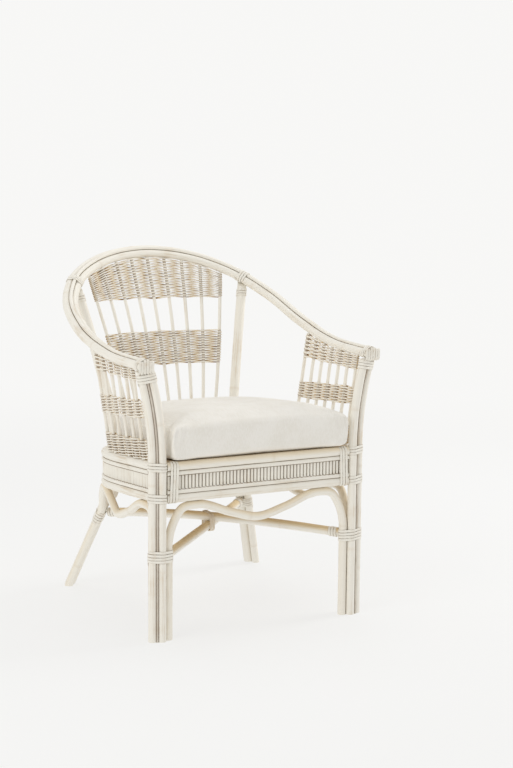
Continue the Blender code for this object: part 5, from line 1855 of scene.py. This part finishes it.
class RATTAN_OT_stage(bpy.types.Operator):
    """Lays the pale floor and sets the soft lamps and the camera"""

    bl_idname = "rattan.stage"
    bl_label = "Stage"

    def execute(self, context):
        stage = context.scene.rattan_stage
        bm = bmesh.new()
        bmesh.ops.create_circle(bm, cap_ends=True, segments=FLOOR_SIDES, radius=FLOOR_RADIUS)
        mesh = bpy.data.meshes.new("studio_floor")
        bm.to_mesh(mesh)
        bm.free()
        mesh.materials.append(floor_finish("studio floor"))
        floor = bpy.data.objects.new("studio_floor", mesh)
        context.scene.collection.objects.link(floor)
        self.light_world(context.scene, stage)
        for name, place, size in LAMPS:
            self.lamp(context, name + "_lamp", place, size, getattr(stage, name))
        self.aim_camera(context.scene)
        context.scene.view_settings.view_transform = "Standard"
        return {"FINISHED"}

    def lamp(self, context, name, place, size, power):
        lamp = bpy.data.lights.new(name, "AREA")
        lamp.shape = "DISK"
        lamp.size = size
        lamp.energy = power
        item = bpy.data.objects.new(name, lamp)
        back = unit(np.array(place) - LAMP_AIM)
        right = unit(np.cross(LAMP_UP, back))
        axes = np.stack([right, np.cross(back, right), back], axis=1)
        item.matrix_world = standing(place, axes)
        context.scene.collection.objects.link(item)

    def light_world(self, scene, stage):
        world = bpy.data.worlds.new("studio")
        world.use_nodes = True
        tree = world.node_tree
        light = tree.nodes["Background"]
        light.inputs["Color"].default_value = (1.0, 1.0, 1.0, 1.0)
        light.inputs["Strength"].default_value = stage.sky
        seen = tree.nodes.new("ShaderNodeBackground")
        seen.inputs["Color"].default_value = rgba(stage.backdrop)
        path = tree.nodes.new("ShaderNodeLightPath")
        mixed = tree.nodes.new("ShaderNodeMixShader")
        tree.links.new(path.outputs["Is Camera Ray"], mixed.inputs[0])
        tree.links.new(light.outputs[0], mixed.inputs[1])
        tree.links.new(seen.outputs[0], mixed.inputs[2])
        tree.links.new(mixed.outputs[0], tree.nodes["World Output"].inputs["Surface"])
        scene.world = world

    def aim_camera(self, scene):
        """The photograph's own view, solved from the chair's level and upright lines."""
        turn, tilt, roll = CAMERA_TURN, CAMERA_TILT, CAMERA_ROLL
        right = np.array((math.cos(turn), math.sin(turn), 0.0))
        level = math.cos(tilt)
        back = np.array((math.sin(turn) * level, -math.cos(turn) * level, math.sin(tilt)))
        up = np.cross(back, right)
        sideways = math.cos(roll) * right + math.sin(roll) * up
        upwards = -math.sin(roll) * right + math.cos(roll) * up
        data = bpy.data.cameras.new("camera")
        data.sensor_fit = "VERTICAL"
        data.sensor_height = CAMERA_SENSOR
        data.lens = CAMERA_LENS
        camera = bpy.data.objects.new("camera", data)
        place = np.array(CAMERA_PLACE) + SHIFT
        axes = np.stack([sideways, upwards, back], axis=1)
        camera.matrix_world = standing(place, axes)
        scene.collection.objects.link(camera)
        scene.camera = camera


OPERATORS = (
    RATTAN_OT_finishes,
    RATTAN_OT_legs,
    RATTAN_OT_arches,
    RATTAN_OT_seat_frame,
    RATTAN_OT_reeds,
    RATTAN_OT_stretchers,
    RATTAN_OT_hoop,
    RATTAN_OT_bindings,
    RATTAN_OT_wicker,
    RATTAN_OT_deck,
    RATTAN_OT_cushion,
    RATTAN_OT_grooves,
    RATTAN_OT_stage,
)


class RATTAN_PT_panel(bpy.types.Panel):
    bl_idname = "RATTAN_PT_panel"
    bl_label = "Rattan chair"
    bl_space_type = "VIEW_3D"
    bl_region_type = "UI"
    bl_category = "Rattan chair"

    def draw(self, context):
        for operator in OPERATORS:
            self.layout.operator(operator.bl_idname)


CLASSES = (RattanSizes, RattanColours, RattanStage, *OPERATORS, RATTAN_PT_panel)


def register():
    for item in CLASSES:
        bpy.utils.register_class(item)
    bpy.types.Scene.rattan_sizes = bpy.props.PointerProperty(type=RattanSizes)
    bpy.types.Scene.rattan_colours = bpy.props.PointerProperty(type=RattanColours)
    bpy.types.Scene.rattan_stage = bpy.props.PointerProperty(type=RattanStage)


def unregister():
    for name in ("rattan_stage", "rattan_colours", "rattan_sizes"):
        delattr(bpy.types.Scene, name)
    for item in reversed(CLASSES):
        bpy.utils.unregister_class(item)


def main():
    register()
    for operator in OPERATORS:
        group, name = operator.bl_idname.split(".")
        getattr(getattr(bpy.ops, group), name)()


if __name__ == "__main__":
    main()
